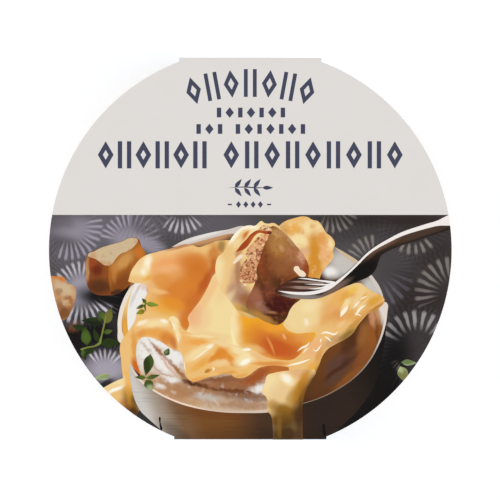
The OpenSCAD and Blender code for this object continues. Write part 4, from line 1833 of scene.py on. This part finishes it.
# %% Dipped bread
coat = [
    (9, 6.4), (7.9, 7.6), (6.8, 8.1), (5.4, 7.9), (4.2, 8.1), (3.3, 8.7), (2.4, 8.1), (1.4, 7.3),
    (0, 7.4), (-1.5, 7.2), (-3, 6.4), (-4.7, 4.8), (-6, 3), (-7.2, 0.8), (-8.1, -0.7), (-9.6, -2),
    (-10.3, -4), (-10.4, -6.5), (-9.9, -9), (-8.8, -11.6), (-7, -14), (-5.4, -16), (-4, -18),
    (-2.4, -19.4), (0, -20.2), (4, -20, CORNER), (8, -8, CORNER), (8, 2, CORNER),
]
COAT_TONES = [
    dab(CREAM, -2, 5.6, 6, 3, 20, 1),
    dab(WHITE_LIGHT, -4.6, 4.4, 1, 3.4, -42, 0.9),
    dab(WHITE_LIGHT, -0.6, 6.9, 2.6, 0.6, 0, 0.8),
    dab(CREAM, -9, -4.8, 1.6, 5, 0, 0.8),
    dab("#EBC07C", -6.8, -0.6, 2, 2.6, -40, 0.7),
    dab(HONEY, -2.2, 4, 1.3, 2.6, -42, 1),
    dab(EMBER, -1.6, 4.4, 0.5, 1.7, -38, 0.8),
    dab(CREAM, -3.6, 2.4, 0.6, 2, -40, 0.6),
    dab("#EDC586", -6, -7, 2.4, 7, -8, 0.7),
    dab("#CF9E78", -4.4, -9.5, 1.8, 6.4, -10, 0.85),
    dab("#B07E58", -3.6, -7, 0.9, 4.6, 2, 0.9),
    dab("#C0937A", -3.4, -13.4, 3.4, 2.4, -35, 0.85),
    dab("#B3856A", -3, -12.8, 3, 2.8, -35, 0.75),
    dab("#9A6A4C", -0.6, -14.6, 2.6, 1.8, -30, 0.75),
    dab(CREAM, -6.4, -14.4, 1, 3, -35, 0.5),
    dab(CRUST, -0.6, -15.4, 3, 2, -20, 0.7),
    dab("#C99234", -2.8, -17.8, 2.6, 1.1, -40, 0.8),
    dab(BRONZE, 0.6, -18.4, 3, 1.6, -25, 0.8),
    dab(HONEY, -1.4, -19, 2.4, 0.4, -22, 0.8),
    dab(RUST, -3.4, -0.6, 1.4, 0.8, 45, 0.5),
]
ink("print_coat", painted("coat_print", BUTTER, COAT_TONES, wobble=0.3, size=2), 8, [coat])
crust = [
    (6.2, 7), (7.6, 7), (9.5, 5.6), (11.5, 3.8), (13.5, 1.5), (15, -0.3), (16.5, -2.5), (17.4, -5),
    (17.2, -8), (16.6, -10), (16.4, -13), (14.8, -14.8), (13, -16.2), (11.7, -18), (10.9, -20),
    (9.4, -21.7), (8, -22.3), (5.5, -21.7), (3, -20.5), (0.6, -18.8), (-1.2, -16.6), (-0.6, -14),
    (0.6, -11.6), (1.6, -9), (1.7, -6), (2.4, -3), (3.6, 0), (4.6, 2.4), (5.6, 4.6),
]
CRUST_TONES = [
    dab(CRUST, 8.6, 2.6, 4, 5, 15, 0.9),
    dab(TOAST, 8.8, 5, 2, 1.6, -40, 0.7),
    dab("#BA7630", 8.6, 0.4, 1.8, 3.4, 5, 0.85),
    dab("#A5683A", 12.4, -2.4, 1.6, 2, -20, 0.7),
    dab("#96562A", 6.2, -3.6, 1.4, 2.6, 0, 0.7),
    dab("#8E4E24", 12, 0.6, 3, 2.6, -45, 0.8),
    dab(SAND, 11.6, 3.2, 3, 0.6, -48, 0.55),
    dab("#7C3A1C", 11, -6, 4, 4, 0, 0.7),
    dab("#BC7650", 15, -3, 1.8, 3.6, -20, 0.9),
    dab("#7E4226", 13, -2, 0.5, 3, -20, 0.6),
    dab("#D39A72", 15.6, -1.6, 0.7, 1.6, -30, 0.7),
    dab(RUST, 16.6, -6, 0.8, 2.4, 0, 0.7),
    dab(RUST, 3.6, -5, 1, 5, 8, 0.7),
    dab(UMBER, 6.6, -10.6, 5, 3, 0, 0.8),
    dab(MAROON, 8.4, -16, 5.6, 3.6, 15, 1),
    dab(MAROON, 5, -13, 2, 2.6, 0, 0.8),
    dab(PEWTER, 3, -15.8, 1.3, 0.7, 20, 0.6),
    dab(BLUSH, 1.2, -13.4, 1.6, 1.8, -30, 0.4),
    dab("#A4783A", 1.6, -18.4, 3, 1.3, -30, 0.9),
    dab(BRONZE, 0.2, -17.8, 1.4, 0.8, -35, 0.6),
    dab(BRONZE, 4.6, -20.4, 2.6, 0.8, -22, 0.8),
    dab(UMBER, 8.4, -20.6, 3, 1.6, 15, 0.9),
    dab("#8A4A1E", 13, -10, 2, 3, 0, 0.6),
    dab("#B08048", 8.8, 2.4, 3.4, 3.6, -20, 0.75),
    dab("#B47A4E", 12.6, -1, 2.6, 2.6, -40, 0.7),
    dab("#9C6438", 9.6, -4.6, 3, 3, 0, 0.65),
    dab("#C99A5E", 7.6, 4.8, 1.6, 0.9, -30, 0.6),
    dab("#D0A272", 9.4, 0.6, 0.7, 1, 20, 0.5),
    dab("#CF9A7C", 15.4, -1.6, 1.3, 2.4, -24, 0.8),
    dab(SIENNA, 14, -4.6, 1.2, 1.8, 0, 0.6),
    dab("#6A2E16", 4.6, -5.6, 1.2, 4.6, 10, 0.7),
]
CRUST_FLECKS = [(CRUST, 0.5, 0.66, 0.5), (UMBER, 0.42, 0.3, 0.3)]
CRUST_SHADES = [
    dab(MAROON, 8.4, -16.6, 5, 2.8, 12, 0.7),
    dab("#6E3018", 12, -13, 3, 2, 0, 0.5),
    dab("#7A4424", 5.4, -6, 3, 4, 0, 0.4),
    dab("#B9765A", 2.6, -15, 1.1, 1.6, -20, 0.5),
    dab("#96583C", 0.6, -14.6, 2.2, 4, -16, 0.75),
    dab("#B27C66", 3.4, -17.2, 2.4, 1, -30, 0.55),
    dab(SIENNA, 5.4, -12.4, 1.8, 2.6, -10, 0.5),
    dab("#B8843E", 3.6, -20, 4.4, 0.9, -26, 0.8),
    dab("#C98C5C", 6.6, -18.6, 1.4, 0.45, -10, 0.5),
]
crust_print = painted(
    "crust_print",
    BARK,
    CRUST_TONES,
    size=1.8,
    spots=(1.5, 6),
    flecks=CRUST_FLECKS,
    shades=CRUST_SHADES,
)
ink("print_crust", crust_print, 9, [crust])

# %% Crumb
crumb = [
    (5.4, 4.4), (4.5, 2.2), (3.9, 0.5), (3.2, -1.5), (2.8, -3.2), (2.1, -4.6), (1.8, -6.5),
    (2, -8.8), (0.5, -9.9), (-1.5, -9.8), (-3, -9.4), (-3.1, -7.5), (-2.8, -5), (-1.9, -3.6),
    (-1.1, -2.4), (-1.4, -1), (-0.6, 0.6), (0.6, 2), (2, 3.6), (3.6, 4.7),
]
crumb_tuft = [(2.6, 5.9), (3.2, 7), (4.6, 7.5), (6, 6.8), (6.3, 5.6), (5, 5.5), (3.8, 5.9)]
CRUMB_TONES = [
    dab("#E3A16E", 3, 3, 2.6, 1.6, 40, 0.8),
    dab(CREAM, 4.4, 6.6, 2, 0.9, 0, 0.6),
    dab("#C58458", -0.6, -7.4, 3, 3.4, 0, 0.8),
]
PITS = [("#7E3A20", 0.5, 0.6, 0.85), (CREAM, 0.44, 0.34, 0.65)]
crumb_print = painted(
    "crumb_print",
    "#DDA477",
    CRUMB_TONES,
    wobble=0,
    roughness=0.5,
    spots=(1.2, 3, 1.2),
    flecks=PITS,
)
ink("print_crumb", crumb_print, 10, [crumb, crumb_tuft])
crust_line = ribbon(
    [(6.3, 5.2), (4.4, 5.3), (2.4, 5.5), (0.8, 4.5), (-0.6, 2.7), (-2.2, 1), (-4.3, -0.6)],
    [0.5, 0.8, 0.9, 1.2, 1.5, 1.6, 0],
)
LINE_TONES = [dab(ORANGE, 1.6, 4.2, 2.6, 0.6, 40, 0.5), dab(MAROON, 6, 5, 0.9, 0.5, 0, 0.7)]
ink("print_crust_line", painted("crust_line_print", RUST, LINE_TONES, size=1), 10.5, [crust_line])
white_bits = [
    [(13, -5.2), (14.2, -4.8), (14.9, -5.8), (16, -6.4), (16.5, -7.6), (15.2, -7.9), (14.1, -7.2)],
    [(-5.1, -4), (-4.6, -2.9), (-3.8, -1.9), (-2.6, -1.3), (-2.2, -1.9), (-3, -2.7), (-3.9, -3.5)],
    ribbon([(-2.1, -10.6), (-1.6, -10.3), (-1.1, -10.7)], 0.5),
]
ink("print_white_bits", painted("white_bit_print", "#F2DFC4", [], wobble=0), 10, white_bits)

# %% Fork
fork = [
    (62, 10.2, CORNER), (55, 8.4), (50, 7), (45, 5.3), (41, 3.4), (38, 1.8), (35, -0.5), (32, -3.6),
    (28, -7.2), (26, -8.9), (20, -8.4), (15, -7.9), (13, -8.3), (11, -9.3), (9, -10.4),
    (7.7, -11.5), (7.3, -12.3), (8.6, -13.2), (10.6, -13.9), (13, -14.4), (16, -14.6),
    (20, -14.4), (24, -13), (27, -11.5), (30, -10.1), (33, -8.9), (35.3, -7.9), (36.7, -6.6),
    (37.7, -4.9), (38.3, -3), (39, -1.6), (41, -0.3), (44, 1), (48, 2.4), (52, 3.8), (56, 5.1),
    (62, 7, CORNER),
]
FORK_TONES = [
    dab("#4E2A1C", 11, -11.4, 5, 3.6, 0, 0.9),
    dab("#4A372B", 50, 5, 11, 1.4, 18, 0.9),
    dab(WALNUT, 40, 1.6, 5, 0.9, 28, 0.9),
    dab(WALNUT, 35.6, -1.6, 3.4, 0.8, 45, 0.8),
    dab(COAL, 33.5, -6.4, 6, 3, 35, 1),
    dab(COAL, 54, 4.2, 8, 0.5, 18, 0.7),
    dab("#7A6156", 25, -11.6, 5, 0.9, 32, 0.9),
    dab(PEWTER, 15, -14, 7, 0.8, -1, 0.9),
    dab("#B98A5C", 13, -14.6, 3, 0.35, -3, 0.6),
]
tine_lights = [
    ribbon([(14, -8.4), (16.4, -8.5), (20, -9), (25.4, -9.7)], [0, 0.35, 0.4, 0.3]),
    ribbon([(16, -10.1), (19, -10.2), (22, -10.3), (25, -10.2)], [0, 0.3, 0.4, 0.3]),
    ribbon([(17, -11.5), (19.4, -11.5), (21.4, -11.2), (23.4, -10.8)], [0, 0.35, 0.5, 0.4]),
]
tine_shades = [
    ribbon([(10.6, -9.5), (14, -9.4), (18, -9.6), (22, -9.9)], [0, 0.5, 0.6, 0.2]),
    ribbon([(8.8, -11), (12, -11), (16, -11.2), (21, -11.2)], [0, 0.6, 0.9, 0.3]),
]
fork_light = ribbon(
    [
        (62, 9.5), (55, 7.8), (50, 6.4), (45, 4.7), (41, 2.7), (37.8, 0.9), (35, -1.1), (32, -4.1),
        (28.5, -7.4), (26, -9.5), (23.5, -11.2), (21, -12.2), (18, -12.8), (14.5, -12.9),
        (11, -12.6), (8.2, -12.1),
    ],
    [1.5, 1.4, 1.25, 1.1, 0.95, 0.8, 0.65, 0.6, 0.65, 0.8, 0.95, 1, 1, 0.85, 0.6, 0],
)
STEEL = 0.35
fork_print = painted("fork_print", "#2A1D17", FORK_TONES, wobble=0.1, roughness=STEEL)
light_print = painted("fork_light_print", "#F3ECE8", [], wobble=0, roughness=STEEL)
SHADE_TONES = [dab("#5A3024", 10, -10.4, 3, 2, 0, 0.9)]
shade_print = painted("tine_shade_print", "#9A8074", SHADE_TONES, wobble=0, roughness=STEEL)
ink("print_fork", fork_print, 9.5, [fork], clip=True)
ink("print_fork_lights", light_print, 10.5, [fork_light, *tine_lights], clip=True)
ink("print_tine_shades", shade_print, 10.1, tine_shades)

# %% Leaves on the cheese
fresh_leaves = [
    leaf(-29.7, -31, 6.6, 2.9, -103),
    leaf(-31, -38, 3.4, 1.2, 177),
    leaf(-31, -38.2, 4.2, 1.2, 14),
    leaf(-31, -38.6, 3.8, 2.6, -62),
    leaf(-25.3, -31.4, 2.4, 1.7, 64),
    ribbon([(-31, -15.4), (-31.4, -16.6), (-31.1, -18.4)], 0.5),
    leaf(-31.2, -15.9, 4, 1.3, -8),
    leaf(-31, -15.9, 2, 1, 128),
    leaf(-31.5, -16.3, 2.8, 1, 205),
    leaf(-31.4, -18, 2.8, 1.4, 200),
]
FRESH_TONES = [
    dab(MOSS, -30.8, -34.4, 1, 3.4, 8, 0.9),
    dab(FERN, -31, -37.8, 1.6, 0.9, 0, 0.7),
    dab(SAGE, -29.8, -41.2, 1.1, 1.1, 0, 0.95),
    dab("#7E9632", -29.2, -16, 2, 0.7, -8, 0.95),
    dab("#94891C", -33, -18.8, 1.4, 1.4, 0, 0.9),
    dab(SAGE, -25, -30.2, 0.4, 0.7, -20, 0.4),
]
leaf_print = painted("fresh_leaf_print", "#44561F", FRESH_TONES, wobble=0.2)
ink("print_fresh_leaves", leaf_print, 10, fresh_leaves)

# %% [markdown]
# ## The floor
# A plain pale floor takes the pack's soft shadow. It glows a very little, as a light table does,
# which keeps it near white round the pack.

# %% Floor
FLOOR_REACH = 20
FLOOR_COLOUR = (0.92, 0.94, 0.96, 1)
FLOOR_LIGHT = (0.75, 0.85, 1, 1)
FLOOR_GLOW = 0.34

floor_bm = bmesh.new()
bmesh.ops.create_grid(floor_bm, x_segments=1, y_segments=1, size=FLOOR_REACH)
floor_mesh = bpy.data.meshes.new("floor")
floor_bm.to_mesh(floor_mesh)
floor_bm.free()
floor_finish = Finish("floor_paint", roughness=0.9, specular=0.1)
floor_finish.colour(FLOOR_COLOUR)
floor_finish.shader.inputs["Emission Color"].default_value = FLOOR_LIGHT
floor_finish.shader.inputs["Emission Strength"].default_value = FLOOR_GLOW
floor_mesh.materials.append(floor_finish.material)
floor = bpy.data.objects.new("floor", floor_mesh)
scene.collection.objects.link(floor)
print(f"the floor reaches {FLOOR_REACH} m each way")
